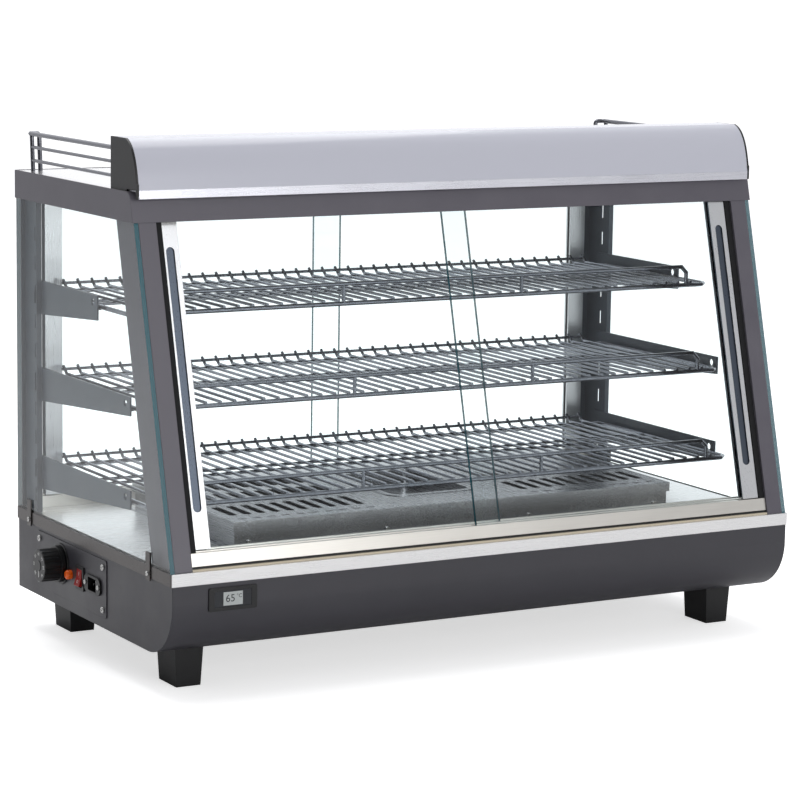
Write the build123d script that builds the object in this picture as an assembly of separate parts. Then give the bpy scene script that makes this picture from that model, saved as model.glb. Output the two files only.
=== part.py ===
"""Countertop heated food display case: a slant-front glass cabinet on a steel base.

Frame: origin at the centre of the footprint on the floor plane, X along the length
(the control panel is on the -X end), the customer's side faces -Y, Z is up.
Lengths are in millimetres. Each sub-part is built by its own short function and
written as one file, named after its node, in the folder "parts".
"""
import os
from math import cos, radians, tan

from build123d import *

os.makedirs("parts", exist_ok=True)

# ---------------------------------------------------------------- overall sizes
LENGTH = 900.0            # deck length along X
DEPTH = 480.0             # deck depth along Y
FOOT_HEIGHT = 51.0
BASE_HEIGHT = 105.9       # floor of the base to the underside of the deck sheet
CABINET_HEIGHT = 406.7    # deck to the underside of the top frame
FRAME_HEIGHT = 36.3       # height of the top frame's skirt
CANOPY_HEIGHT = 62.9      # canopy above the top frame
SLOPE = 14.56             # lean of the front, degrees from vertical

# ---------------------------------------------------------------- sheet and gaps
SHEET = 1.2               # base, deck and cover sheet
POST_SHEET = 1.5          # post and top frame sheet
SLIP = 0.3                # small gap between neighbouring fixed pieces
RUN = 1.0                 # gap between pieces that slide past each other
PIN_FIT = 0.05            # radial gap of a shaft in its bore
SCREW_FIT = 0.1           # radial gap of a screw in its hole

# ---------------------------------------------------------------- derived levels
BASE_BOTTOM = FOOT_HEIGHT
DECK_UNDER = BASE_BOTTOM + BASE_HEIGHT
DECK_TOP = DECK_UNDER + SHEET
FRAME_UNDER = DECK_TOP + CABINET_HEIGHT
FRAME_TOP = FRAME_UNDER + FRAME_HEIGHT
CANOPY_TOP = FRAME_TOP + CANOPY_HEIGHT
HALF = LENGTH / 2
REAR = DEPTH / 2
LEAN = tan(radians(SLOPE))
SQUARE = 1 / cos(radians(SLOPE))   # depth along Y of one unit measured square to the glass

# ---------------------------------------------------------------- base
DECK_FLANGE = 15.5
DECK_CORNER = 2.5
BASE_INSET = 2.0          # base walls stand this far inside the deck edge
FRONT_INSET = 1.5         # base front behind the deck's front edge
BASE_CURVE = 68.0         # radius of the rounded front
VENT_LENGTH = 46.0
VENT_WIDTH = 4.0
VENT_PITCH = 10.0
VENT_ROWS = 6
VENT_GAP = 230.0          # between the middles of the vent groups

FOOT_INSET = 58.0         # foot centre from the end
FOOT_FRONT_INSET = 99.0
FOOT_REAR_INSET = 57.0
FOOT_TOP = (38.0, 54.0)
FOOT_TIP = (32.7, 49.7)
FOOT_POCKET_R = 9.0
FOOT_POCKET_DEPTH = 30.0
BOLT_R = 4.0
BOLT_HEAD_R = 7.0
BOLT_HEAD = 5.3
NUT_R = 7.5
NUT_HEIGHT = 6.5

# ---------------------------------------------------------------- control end
PLATE_REAR_INSET = 67.5   # plate's rear edge from the deck's rear edge
PLATE_LENGTH = 221.0
PLATE_HEIGHT = 73.0
PLATE_LIFT = 14.0         # plate above the base's floor
PLATE_CORNER = 3.0
PLATE_SCREW_INSET = 9.5
PANEL_SCREW_R = 2.0
PANEL_SCREW_HEAD_R = 4.2
PANEL_SCREW_HEAD = 2.4
PANEL_SCREW_LENGTH = 8.0
KNOB_INSET = 78.5         # knob centre from the plate's rear edge
KNOB_LIFT = 43.0          # knob centre above the plate's lower edge
KNOB_REACH = 30.8         # knob face to the plate
KNOB_SKIRT_R = 23.5
KNOB_SKIRT = 5.0
KNOB_GRIP_R = 21.0
KNOB_FLUTES = 18
KNOB_FLUTE_R = 1.6
KNOB_BORE_DEPTH = 20.0
DIAL_R = 26.5
DIAL_THICK = 2.0
SHAFT_R = 3.0
SHAFT_REACH = 18.0        # shaft end to the plate
BUSH_R = 5.0
STAT_BODY = (30.0, 44.0, 40.0)
LAMP_INSET = 111.0
LAMP_LIFT = 35.0
LAMP_R = 6.0
LAMP_REACH = 8.0
LAMP_STEM_R = 4.8
LAMP_STEM = 22.0
SWITCH_INSET = 142.0
SWITCH_LIFT = 36.5
SWITCH_FACE = (25.0, 31.0)
SWITCH_WALL = 3.0
SWITCH_RIM = 2.2
SWITCH_BODY = (21.5, 27.5)
SWITCH_DEPTH = 22.0
ROCKER_AXLE_R = 1.5
ROCKER_GAP = 1.1          # above and below the rocker, so that it can tip
ROCKER_TILT = 12.0
INLET_INSET = 182.0
INLET_LIFT = 36.0
INLET_FACE = (50.0, 22.5)
INLET_FACE_THICK = 2.5
INLET_BODY = (27.0, 19.6)
INLET_MOUTH = (24.4, 16.6)
INLET_MOUTH_DEPTH = 16.0
INLET_DEPTH = 24.0
INLET_SCREW_PITCH = 40.0
INLET_PIN = (1.0, 2.0)
INLET_PIN_PITCH = 7.0
INLET_PIN_STEP = 4.0
INLET_PIN_SET = 3.0       # pin tips behind the plate's outer face
INLET_PIN_TAIL = 7.0

# ---------------------------------------------------------------- front display
METER_INSET = 81.5        # its middle from the -X end of the deck
METER_DROP = 35.5         # its middle below the deck
METER_FACE = (64.0, 28.5)
METER_RIM = 2.0
METER_WALL = 5.2
METER_BODY = (58.0, 22.5)
METER_DEPTH = 16.0
METER_SET_BACK = 0.5

# ---------------------------------------------------------------- posts and glass
POST_INSET = 7.0          # outer face of a front post from the deck's end
POST_WIDTH = 23.0
POST_BOX = 34.0           # depth of its box part, square to the front
POST_FLANGE = 32.0        # flat flange behind the box
POST_FRONT_INSET = 4.0    # foot of the sloping front behind the deck's front edge
REAR_WEB_DEPTH = 7.0      # slotted face of a rear post inside its outer face
REAR_POST_SIZE = 53.0     # size of a rear post along Y
REAR_LIP = 22.0
REAR_INSET = 1.0          # rear face of posts and top frame inside the deck edge
SLOT_INSET = 35.5         # slots from the rear face
SLOT_WIDTH = 4.0
SLOT_HEIGHT = 18.0
SLOT_PITCH = 38.0
GLASS = 6.0               # side glass
GLASS_GAP = 0.2
GLASS_SETBACK = 0.5
CLIP_THICK = 1.5
CLIP_REAR_INSET = 45.0
CLIP_FRONT_INSET = 64.0
CLIP_WIDTH = 12.0
CLIP_ABOVE = 16.0
CLIP_BELOW = 3.0
CLIP_SCREW_DROP = 10.1
SMALL_SCREW_R = 1.5       # clips, inlet and heater frame share one screw
SMALL_SCREW_HEAD_R = 3.2
SMALL_SCREW_HEAD = 1.8
SMALL_SCREW_LENGTH = 6.5

# ---------------------------------------------------------------- sliding doors
PANE = 5.0                # sliding pane thickness
PANE_PLAY = 1.0           # gap each side of a pane in its groove
TRACK_WALL = 3.5
TRACK_RIB = 5.0
TRACK_BASE = 3.0
TRACK_HEIGHT = 15.4
TRACK_SETBACK = 2.0
TRACK_CEILING = 22.0      # depth of the grooves in the top tracks
SILL = 2.1
GASKET = 3.2
STILE_LIP = 3.0           # how far a stile stands proud of its pane
STILE_WIDTH = 24.0
STILE_EDGE = 2.0          # metal beyond the pane's edge
PULL_WIDTH = 11.0
PULL_LENGTH = 321.0
PULL_DEPTH = 2.2
PULL_LIFT = 219.9         # middle of the pull above the deck
PANE_LIFT = 14.0          # how far a pane stands up into its top groove
SEAL_THICK = 8.5
SEAL_GAP = 1.5            # closed front door to its seal
FRONT_OVERLAP = 21.0      # how far a pane passes the middle
REAR_OVERLAP = 17.5

# ---------------------------------------------------------------- top frame
SIDE_SPREAD = 0.9         # top frame beyond the deck, each side
FRAME_ROUND = 12.0        # rounded top front edge
FRAME_LEDGE = 29.6
TOP_SHEET_DROP = 0.6
CANOPY_INSET = 3.5        # end caps inside the deck's end
CANOPY_OVERHANG = 11.6    # lower front edge of the canopy before the top frame's face
CANOPY_DEPTH = 76.5
CANOPY_CURVE = 33.5       # depth of the rounded part
CANOPY_LIFT = 2.5         # canopy above the top frame
CANOPY_DROP = 10.5        # height of the strip's front leg
CANOPY_STEPS = 8          # points along the rounded front
PANEL_THICK = 3.0
CAP_THICK = 3.0
CAP_RIM = 7.0
CAP_WALL = 2.5
STRIP_THICK = 1.5
STRIP_LEG = 26.0
TUBE_R = 8.0
TUBE_INSET = 45.0         # tube end from the deck's end
TUBE_BACK = 34.0          # tube before the canopy's back
TUBE_LIFT = 30.9
HOLDER = (16.0, 26.0)

# ---------------------------------------------------------------- gallery rails
RAIL_INSET = 10.0
RAIL_DROP = 14.6          # top wire below the canopy's top
RAIL_REAR_INSET = 26.0
RAIL_RETURN = 13.0
RAIL_TOP_R = 3.0
RAIL_POST_R = 2.8
RAIL_WIRE_R = 2.2
RAIL_LEAN = 4.0
RAIL_STEP = 17.0
RAIL_BEND = 8.0

# ---------------------------------------------------------------- shelves
SHELF_HEIGHTS = {"top": 303.4, "middle": 190.4, "bottom": 74.4}      # bracket tops above the deck
SHELF_CLEAR = {"top": 90.1, "middle": 87.4, "bottom": 91.6}          # front wire behind the slope
BRACKET_LENGTHS = {"top": 201.0, "middle": 300.0, "bottom": 300.0}
SHELF_DROP = 15.0         # frame wire below the bracket's top edge
SHELF_REAR_INSET = 40.0
SHELF_CORNER = 9.0
SHELF_GAP = 4.0           # side wire to the bracket's plate
FRAME_WIRE_R = 3.0
ROD_R = 2.0
ROD_PITCH = 20.0
WIRE_FLATS = 8            # drawn wire is modelled with eight flats
REAR_WIRE_R = 2.8         # rear wire, a little thinner than the frame wire it crosses
LOOP_OVERRUN = 2.0        # frame wire past the rear wire
CROSS_RAISE = 0.7         # cross wires above the frame wire's middle
ROD_OVERRUN = 1.0         # rod ends past the front wire
TOP_WIRE_INSET = 2.0      # rear upper wire before the rod ends
TOP_WIRE_OVERRUN = 3.0    # rear upper wire past the last rods
WELD = 1.0                # how far crossing wires are pressed into each other
ROD_RISE = 9.0
ROD_RAMP = 16.0
ROD_RUN = 5.0             # level stretch of a rod behind the rear cross wire
CROSS_INSETS = (162.0, 132.0)      # middle cross wires from the shelf's rear
LIP_INSET = 34.0
LIP_R = 2.7
LIP_POST_R = 2.4
LIP_HEIGHT = 25.0
LIP_BEND = 8.0
LIP_POST_SPREAD = 264.0
BRACKET_THICK = 2.0
BRACKET_REAR_HEIGHT = 44.0
BRACKET_TAPER = 0.074
BRACKET_TAIL_GAP = 2.5    # bracket's tail to the rear track
BRACKET_HOLE_R = 4.5
BRACKET_LEDGE = 9.0

# ---------------------------------------------------------------- heater
HEATER_INSET = 130.0
HEATER_FRONT_INSET = 96.0
HEATER_REAR_INSET = 90.0
HEATER_HEIGHT = 35.9
HEATER_FLANGE = 6.0
COVER_LIP = 3.0
COVER_SKIRT = 12.0
HOLE_MARGIN = (20.0, 24.0)         # deck opening inside the heater frame, X and Y
PAN_DEPTH = 36.0
PAN_FLANGE = 12.0
LOUVRE_WIDTH = 11.0
LOUVRE_PITCH = 20.0
LOUVRE_ROWS = 3
LOUVRE_BRIDGE = 23.0      # metal between the rows
LOUVRE_MARGIN = (8.0, 36.0)        # slots inside the cover's edge, X and Y
LOUVRE_TRAY_GAP = 46.0             # slots to the tray's rim
SPOT_LENGTH = 12.0
SPOT_WIDTH = 5.0
SPOT_INSET = 14.0
TRAY_HALF = (58.0, 80.0)
TRAY_DEPTH = 22.0
TRAY_RIM = 8.0
TRAY_SHEET = 0.8
TRAY_CORNER = 14.0
ELEMENT_R = 4.0
ELEMENT_START = 70.0
ELEMENT_TAIL = 14.0
ELEMENT_HALF = 55.0
ELEMENT_LIFT = 16.0
ELEMENT_BEND = 30.0
CRADLE_INSET = 100.0
CRADLE = (10.0, 14.0)
FRAME_SCREW_INSETS = (20.0, 215.0)
FRAME_SCREW_LIFT = 9.0

# ---------------------------------------------------------------- places that follow
FOOT_X = HALF - FOOT_INSET
FOOT_Y = (-REAR + FOOT_FRONT_INSET, REAR - FOOT_REAR_INSET)
PLATE_Y = (REAR - PLATE_REAR_INSET - PLATE_LENGTH, REAR - PLATE_REAR_INSET)
PLATE_Z = (BASE_BOTTOM + PLATE_LIFT, BASE_BOTTOM + PLATE_LIFT + PLATE_HEIGHT)
KNOB_Y, KNOB_Z = PLATE_Y[1] - KNOB_INSET, PLATE_Z[0] + KNOB_LIFT
LAMP_Y, LAMP_Z = PLATE_Y[1] - LAMP_INSET, PLATE_Z[0] + LAMP_LIFT
SWITCH_Y, SWITCH_Z = PLATE_Y[1] - SWITCH_INSET, PLATE_Z[0] + SWITCH_LIFT
INLET_Y, INLET_Z = PLATE_Y[1] - INLET_INSET, PLATE_Z[0] + INLET_LIFT
METER_X = -HALF + METER_INSET
METER_Z = DECK_TOP - METER_DROP
POST_OUT = HALF - POST_INSET
POST_IN = POST_OUT - POST_WIDTH
SLOPE_FOOT_Y = -REAR + POST_FRONT_INSET    # the front plane at deck level
REAR_FACE = REAR - REAR_INSET
REAR_WEB_IN = POST_OUT - REAR_WEB_DEPTH
REAR_WEB_Y = REAR_FACE - REAR_POST_SIZE
REAR_LIP_IN = POST_OUT - REAR_LIP
SLOT_Y = REAR_FACE - SLOT_INSET
GLASS_IN = POST_OUT + GLASS_GAP
GLASS_OUT = GLASS_IN + GLASS
CLIP_OUT = max(HALF, GLASS_OUT) + CLIP_THICK
CLIP_Y = (REAR - CLIP_REAR_INSET, -REAR + CLIP_FRONT_INSET)
CLIP_SCREW_Z = DECK_TOP - CLIP_SCREW_DROP
FRONT_DOOR_EDGE = POST_IN - SEAL_THICK - SEAL_GAP      # |x| of the closed outer edge
REAR_DOOR_EDGE = POST_IN
PULL_MID_Z = DECK_TOP + PULL_LIFT
SHELF_LEVELS = {level: DECK_TOP + height for level, height in SHELF_HEIGHTS.items()}
SHELF_REAR = REAR - SHELF_REAR_INSET
SHELF_HALF = REAR_WEB_IN - BRACKET_THICK - SHELF_GAP - FRAME_WIRE_R
LIP_HALF = SHELF_HALF - LIP_INSET
RAIL_X = HALF - RAIL_INSET
RAIL_Z = CANOPY_TOP - RAIL_DROP
RAIL_REAR = REAR - RAIL_REAR_INSET
CANOPY_HALF = HALF - CANOPY_INSET
TUBE_HALF = HALF - TUBE_INSET
HEATER_HALF = HALF - HEATER_INSET
HEATER_Y = (-REAR + HEATER_FRONT_INSET, REAR - HEATER_REAR_INSET)
DECK_HOLE_HALF = HEATER_HALF - HOLE_MARGIN[0]
DECK_HOLE_Y = (HEATER_Y[0] + HOLE_MARGIN[1], HEATER_Y[1] - HOLE_MARGIN[1])
TRAY_MID_Y = (HEATER_Y[0] + HEATER_Y[1]) / 2


# ================================================================ small helpers
def block(x, y, z):
    """Box between two values on each axis."""
    size = (abs(x[1] - x[0]), abs(y[1] - y[0]), abs(z[1] - z[0]))
    middle = ((x[0] + x[1]) / 2, (y[0] + y[1]) / 2, (z[0] + z[1]) / 2)
    return Pos(*middle) * Box(*size)


def rod_x(x, y, z, radius):
    """Round bar along X."""
    length = x[1] - x[0]
    return Pos(x[0] + length / 2, y, z) * Rot(0, 90, 0) * Cylinder(radius, length)


def rod_y(x, y, z, radius):
    """Round bar along Y."""
    length = y[1] - y[0]
    return Pos(x, y[0] + length / 2, z) * Rot(90, 0, 0) * Cylinder(radius, length)


def rod_z(x, y, z, radius):
    """Round bar along Z."""
    length = z[1] - z[0]
    return Pos(x, y, z[0] + length / 2) * Cylinder(radius, length)


def prism_x(points, x):
    """Outline given as (y, z) pairs, drawn out along X."""
    outline = Plane.YZ * Polygon(*points, align=None)
    return Pos(x[0], 0, 0) * extrude(outline, amount=x[1] - x[0], dir=(1, 0, 0))


def front_y(z):
    """Y of the sloping front plane at height z."""
    return SLOPE_FOOT_Y + (z - DECK_TOP) * LEAN


def slab(x, depth, z):
    """Slice parallel to the sloping front, depth measured square to it, level ends."""
    y0, y1 = depth[0] * SQUARE, depth[1] * SQUARE
    points = [
        (front_y(z[0]) + y0, z[0]),
        (front_y(z[0]) + y1, z[0]),
        (front_y(z[1]) + y1, z[1]),
        (front_y(z[1]) + y0, z[1]),
    ]
    return prism_x(points, x)


def sided(side, inner, outer):
    """X range between two distances from the middle, on the given side."""
    return tuple(sorted((side * inner, side * outer)))


def tube(points, radius, bend, seam):
    """Round wire through the points, with its corners rounded; seam is the side its seam runs on."""
    line = FilletPolyline(*points, radius=bend)
    start = Plane(origin=line @ 0, x_dir=seam, z_dir=line % 0)
    return sweep(start * Circle(radius), path=line)


def bar(start, end, radius):
    """Straight round bar between two points."""
    line = Line(start, end)
    plane = Plane(origin=start, z_dir=line % 0)
    return extrude(plane * Circle(radius), amount=line.length)


def fuse(pieces):
    """One solid from touching or crossing pieces."""
    pieces = list(pieces)
    return pieces[0].fuse(*pieces[1:]) if len(pieces) > 1 else pieces[0]


def pair(make):
    """The left and the right piece of a matched pair."""
    return Compound([make(-1), make(1)])


def save(node, shape):
    export_step(shape, f"parts/{node}.step")


# ================================================================ base
def base_side_outline(inset, over):
    """Side view of the base; over lets the rear and top run past."""
    front = -REAR + FRONT_INSET + inset
    centre = (-REAR + FRONT_INSET + BASE_CURVE, BASE_BOTTOM + BASE_CURVE)
    bottom = BASE_BOTTOM + inset
    rear = REAR - BASE_INSET - SHEET + over
    top = DECK_UNDER + over
    lines = Line((front, top), (front, centre[1]))
    lines += CenterArc(centre, BASE_CURVE - inset, 180, 90)
    lines += Line((centre[0], bottom), (rear, bottom))
    lines += Line((rear, bottom), (rear, top))
    lines += Line((rear, top), (front, top))
    return Plane.YZ * make_face(lines)


def draw_x(face, x):
    return Pos(x[0], 0, 0) * extrude(face, amount=x[1] - x[0], dir=(1, 0, 0))


def make_base_wrap():
    """Floor and rounded front of the base, one bent sheet with weld nuts for the feet."""
    half = HALF - BASE_INSET - SHEET
    outer = draw_x(base_side_outline(0, 0), (-half, half))
    inner = draw_x(base_side_outline(SHEET, 10), (-half - 1, half + 1))
    wrap = outer - inner
    width, height = METER_BODY
    wrap -= Pos(METER_X, -REAR, METER_Z) * Box(width + 2 * SLIP, 20, height + 2 * SLIP)
    for x, y in foot_positions():
        wrap += Pos(x, y, BASE_BOTTOM + SHEET) * extrude(RegularPolygon(NUT_R, 6), NUT_HEIGHT)
        wrap -= rod_z(x, y, (BASE_BOTTOM - 1, BASE_BOTTOM + SHEET + NUT_HEIGHT + 1), BOLT_R + SCREW_FIT)
    return wrap


def make_base_side(side):
    """End wall of the base; the -X wall carries the controls."""
    outer = HALF - BASE_INSET
    wall = draw_x(base_side_outline(0, 0), sided(side, outer - SHEET, outer))
    wall += block(
        sided(side, outer - SHEET, outer), (REAR - 10, REAR - BASE_INSET), (BASE_BOTTOM, DECK_UNDER)
    )
    for y in CLIP_Y:
        wall -= rod_x(sided(side, outer - 9, outer + 9), y, CLIP_SCREW_Z, SMALL_SCREW_R + SCREW_FIT)
    return wall - control_cuts() if side < 0 else wall


def make_base_rear():
    """Rear wall of the base with vent slots."""
    half = HALF - BASE_INSET - SHEET
    y = (REAR - BASE_INSET - SHEET, REAR - BASE_INSET)
    wall = block((-half, half), y, (BASE_BOTTOM, DECK_UNDER))
    middle = (BASE_BOTTOM + DECK_UNDER) / 2
    for x in (-VENT_GAP, 0.0, VENT_GAP):
        for row in range(VENT_ROWS):
            z = middle + (row - (VENT_ROWS - 1) / 2) * VENT_PITCH
            wall -= Pos(x, REAR - BASE_INSET, z) * Box(VENT_LENGTH, 10, VENT_WIDTH)
    return wall


def make_deck():
    """Deck sheet with a turned-down edge and the heater opening."""
    outer = block((-HALF, HALF), (-REAR, REAR), (DECK_TOP - DECK_FLANGE, DECK_TOP))
    outer = fillet(outer.edges().filter_by(Axis.Z), DECK_CORNER)
    inside = block(
        (-HALF + SHEET, HALF - SHEET),
        (-REAR + SHEET, REAR - SHEET),
        (DECK_TOP - DECK_FLANGE - 1, DECK_UNDER),
    )
    hole = block((-DECK_HOLE_HALF, DECK_HOLE_HALF), DECK_HOLE_Y, (DECK_UNDER - 1, DECK_TOP + 1))
    deck = outer - inside - hole
    for side in (-1, 1):
        for y in CLIP_Y:
            deck -= rod_x(sided(side, HALF - 5, HALF + 5), y, CLIP_SCREW_Z, SMALL_SCREW_R + SCREW_FIT)
    return deck


def make_feet():
    """Tapered block feet, each with a pocket for its bolt head."""
    low = Plane.XY * Rectangle(*FOOT_TIP)
    high = Plane.XY.offset(FOOT_HEIGHT) * Rectangle(*FOOT_TOP)
    foot = loft([low, high])
    foot -= rod_z(0, 0, (-1, FOOT_POCKET_DEPTH), FOOT_POCKET_R)
    foot -= rod_z(0, 0, (0, FOOT_HEIGHT + 1), BOLT_R + SCREW_FIT)
    return Compound([Pos(x, y, 0) * foot for x, y in foot_positions()])


def foot_positions():
    return [(x, y) for x in (-FOOT_X, FOOT_X) for y in FOOT_Y]


def make_foot_bolts():
    """Hexagon head bolts, up through the feet."""
    top = BASE_BOTTOM + SHEET + NUT_HEIGHT
    head = Pos(0, 0, FOOT_POCKET_DEPTH - BOLT_HEAD) * extrude(RegularPolygon(BOLT_HEAD_R, 6), BOLT_HEAD)
    bolt = head + rod_z(0, 0, (FOOT_POCKET_DEPTH - 1, top), BOLT_R)
    return Compound([Pos(x, y, 0) * bolt for x, y in foot_positions()])


# ================================================================ control end
WALL_X = -(HALF - BASE_INSET)          # outer face of the -X wall
PLATE_X = WALL_X - SHEET               # outer face of the control plate


def plate_screw_positions():
    ys = (PLATE_Y[0] + PLATE_SCREW_INSET, PLATE_Y[1] - PLATE_SCREW_INSET)
    zs = (PLATE_Z[0] + PLATE_SCREW_INSET, PLATE_Z[1] - PLATE_SCREW_INSET)
    return [(y, z) for y in ys for z in zs]


def control_cuts():
    """Holes shared by the end wall and the control plate."""
    x = (WALL_X - 6, WALL_X + 6)
    cuts = [rod_x(x, y, z, PANEL_SCREW_R + SCREW_FIT) for y, z in plate_screw_positions()]
    cuts.append(rod_x(x, KNOB_Y, KNOB_Z, BUSH_R + SCREW_FIT))
    cuts.append(rod_x(x, LAMP_Y, LAMP_Z, LAMP_STEM_R + SCREW_FIT))
    for (y, z), (wide, high) in (((SWITCH_Y, SWITCH_Z), SWITCH_BODY), ((INLET_Y, INLET_Z), INLET_BODY)):
        reach = wide / 2 + SCREW_FIT
        rise = high / 2 + SCREW_FIT
        cuts.append(block(x, (y - reach, y + reach), (z - rise, z + rise)))
    cuts += [rod_x(x, y, INLET_Z, SMALL_SCREW_R + SCREW_FIT) for y in inlet_screw_positions()]
    return fuse(cuts)


def make_control_plate():
    """Screwed-on plate that carries the controls."""
    plate = block((PLATE_X, WALL_X), PLATE_Y, PLATE_Z)
    plate = fillet(plate.edges().filter_by(Axis.X), PLATE_CORNER)
    return plate - control_cuts()


def make_panel_screws():
    """Pan head screws of the control plate."""
    shank = rod_x((PLATE_X - 0.5, PLATE_X + PANEL_SCREW_LENGTH), 0, 0, PANEL_SCREW_R)
    head = rod_x((PLATE_X - PANEL_SCREW_HEAD, PLATE_X), 0, 0, PANEL_SCREW_HEAD_R)
    head = fillet(head.edges().group_by(Axis.X)[0], 1.2)
    head -= block((PLATE_X - 4, PLATE_X - 1.4), (-0.5, 0.5), (-2.6, 2.6))
    head -= block((PLATE_X - 4, PLATE_X - 1.4), (-2.6, 2.6), (-0.5, 0.5))
    return Compound([Pos(0, y, z) * (head + shank) for y, z in plate_screw_positions()])


def make_thermostat():
    """Thermostat body behind the wall, with its bush and round shaft."""
    wide, across, high = STAT_BODY
    inner = WALL_X + SHEET
    y = (KNOB_Y - across / 2, KNOB_Y + across / 2)
    z = (KNOB_Z - high / 2, KNOB_Z + high / 2)
    body = block((inner, inner + wide), y, z)
    bush = rod_x((PLATE_X - DIAL_THICK, inner + 1), KNOB_Y, KNOB_Z, BUSH_R)
    shaft = rod_x((PLATE_X - SHAFT_REACH, inner + 1), KNOB_Y, KNOB_Z, SHAFT_R)
    return body + bush + shaft


def make_dial_ring():
    """Flat ring around the knob, clamped on the plate."""
    ring = rod_x((PLATE_X - DIAL_THICK, PLATE_X), KNOB_Y, KNOB_Z, DIAL_R)
    ring = fillet(ring.edges().group_by(Axis.X)[0], 1.0)
    return ring - rod_x((PLATE_X - 9, PLATE_X + 9), KNOB_Y, KNOB_Z, BUSH_R + SCREW_FIT)


def make_thermostat_knob():
    """Fluted knob with a skirt; its blind bore turns on the shaft."""
    back = PLATE_X - DIAL_THICK - RUN
    face = PLATE_X - KNOB_REACH
    skirt = rod_x((back - KNOB_SKIRT, back), 0, 0, KNOB_SKIRT_R)
    grip = rod_x((face, back), 0, 0, KNOB_GRIP_R)
    grip = fillet(grip.edges().group_by(Axis.X)[0], 1.5)
    knob = skirt + grip
    for index in range(KNOB_FLUTES):
        flute = Pos(0, KNOB_GRIP_R + KNOB_FLUTE_R * 0.4, 0) * rod_x(
            (face - 1, back - KNOB_SKIRT), 0, 0, KNOB_FLUTE_R
        )
        knob -= Rot(index * 360 / KNOB_FLUTES, 0, 0) * flute
    knob -= rod_x((back - KNOB_BORE_DEPTH, back + 1), 0, 0, SHAFT_R + PIN_FIT)
    return Pos(0, KNOB_Y, KNOB_Z) * knob


def make_indicator_lamp():
    """Round signal lamp: domed lens outside, stem through the wall."""
    dome = Pos(PLATE_X, 0, 0) * Rot(0, -90, 0) * Cylinder(
        LAMP_R, LAMP_REACH, align=(Align.CENTER, Align.CENTER, Align.MIN)
    )
    dome = fillet(dome.edges().group_by(Axis.X)[0], LAMP_R * 0.6)
    stem = rod_x((PLATE_X - 1, PLATE_X + LAMP_STEM), 0, 0, LAMP_STEM_R)
    return Pos(0, LAMP_Y, LAMP_Z) * (dome + stem)


def switch_box(width, height, x):
    y = (SWITCH_Y - width / 2, SWITCH_Y + width / 2)
    z = (SWITCH_Z - height / 2, SWITCH_Z + height / 2)
    return block(x, y, z)


def make_switch_housing():
    """Housing of the rocker switch, open to the front."""
    wide, high = SWITCH_BODY
    rim = switch_box(*SWITCH_FACE, (PLATE_X - SWITCH_RIM, PLATE_X))
    rim = fillet(rim.edges().filter_by(Axis.X), 1.5)
    body = switch_box(wide, high, (PLATE_X - 1, PLATE_X + SWITCH_DEPTH))
    pocket = switch_box(wide - 2 * SWITCH_WALL, high - 2 * SWITCH_WALL + 2, (PLATE_X - 9, PLATE_X + 16))
    axle = rod_y(
        PLATE_X, (SWITCH_Y - wide / 2 - 1, SWITCH_Y + wide / 2 + 1), SWITCH_Z, ROCKER_AXLE_R + PIN_FIT
    )
    hole = axle & switch_box(wide - 2.4, high, (PLATE_X - 9, PLATE_X + 16))
    return rim + body - pocket - hole


def make_rocker():
    """Two-position rocker on its own axle stubs, shown tipped."""
    wide = SWITCH_BODY[0] - 2 * SWITCH_WALL - 2 * SLIP
    half_high = SWITCH_BODY[1] / 2 - SWITCH_WALL + 1 - ROCKER_GAP
    profile = [
        (-half_high, -4.5),
        (0, -3.2),
        (half_high, -4.5),
        (half_high - 1.5, 5.0),
        (-half_high + 1.5, 5.0),
    ]
    face = Plane.XZ * Polygon(*[(x, z) for z, x in profile], align=None)
    paddle = Pos(0, wide / 2, 0) * extrude(face, amount=wide, dir=(0, -1, 0))
    stubs = rod_y(0, (-wide / 2 - 1.4, wide / 2 + 1.4), 0, ROCKER_AXLE_R)
    return Pos(PLATE_X, SWITCH_Y, SWITCH_Z) * Rot(0, ROCKER_TILT, 0) * (paddle + stubs)


def inlet_box(size, x):
    y = (INLET_Y - size[0] / 2, INLET_Y + size[0] / 2)
    z = (INLET_Z - size[1] / 2, INLET_Z + size[1] / 2)
    return block(x, y, z)


def make_power_inlet():
    """Three-pin appliance inlet with a rounded flange."""
    flange = inlet_box(INLET_FACE, (PLATE_X - INLET_FACE_THICK, PLATE_X))
    flange = fillet(flange.edges().filter_by(Axis.X), INLET_FACE[1] * 0.42)
    body = inlet_box(INLET_BODY, (PLATE_X - 1, PLATE_X + INLET_DEPTH))
    mouth = inlet_box(INLET_MOUTH, (PLATE_X - 9, PLATE_X - INLET_FACE_THICK + INLET_MOUTH_DEPTH))
    inlet = flange + body - mouth
    for y, z in inlet_pin_positions():
        inlet -= pin_block((PLATE_X, PLATE_X + 2 * INLET_DEPTH), y, z)
    for y in inlet_screw_positions():
        inlet -= rod_x((PLATE_X - 9, PLATE_X + 9), y, INLET_Z, SMALL_SCREW_R + SCREW_FIT)
    return inlet


def pin_block(x, y, z):
    """Space of one flat pin."""
    half_width, half_height = INLET_PIN
    return block(x, (y - half_width, y + half_width), (z - half_height, z + half_height))


def inlet_pin_positions():
    low = INLET_Z - INLET_PIN_STEP / 2
    return [
        (INLET_Y - INLET_PIN_PITCH, low),
        (INLET_Y, low + INLET_PIN_STEP),
        (INLET_Y + INLET_PIN_PITCH, low),
    ]


def make_inlet_pins():
    """Flat contact pins standing in the inlet's mouth."""
    pins = []
    for y, z in inlet_pin_positions():
        x = (PLATE_X + INLET_PIN_SET, PLATE_X + INLET_DEPTH + INLET_PIN_TAIL)
        pins.append(pin_block(x, y, z))
    return Compound(pins)


def inlet_screw_positions():
    return [INLET_Y + way * INLET_SCREW_PITCH / 2 for way in (-1, 1)]


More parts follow.
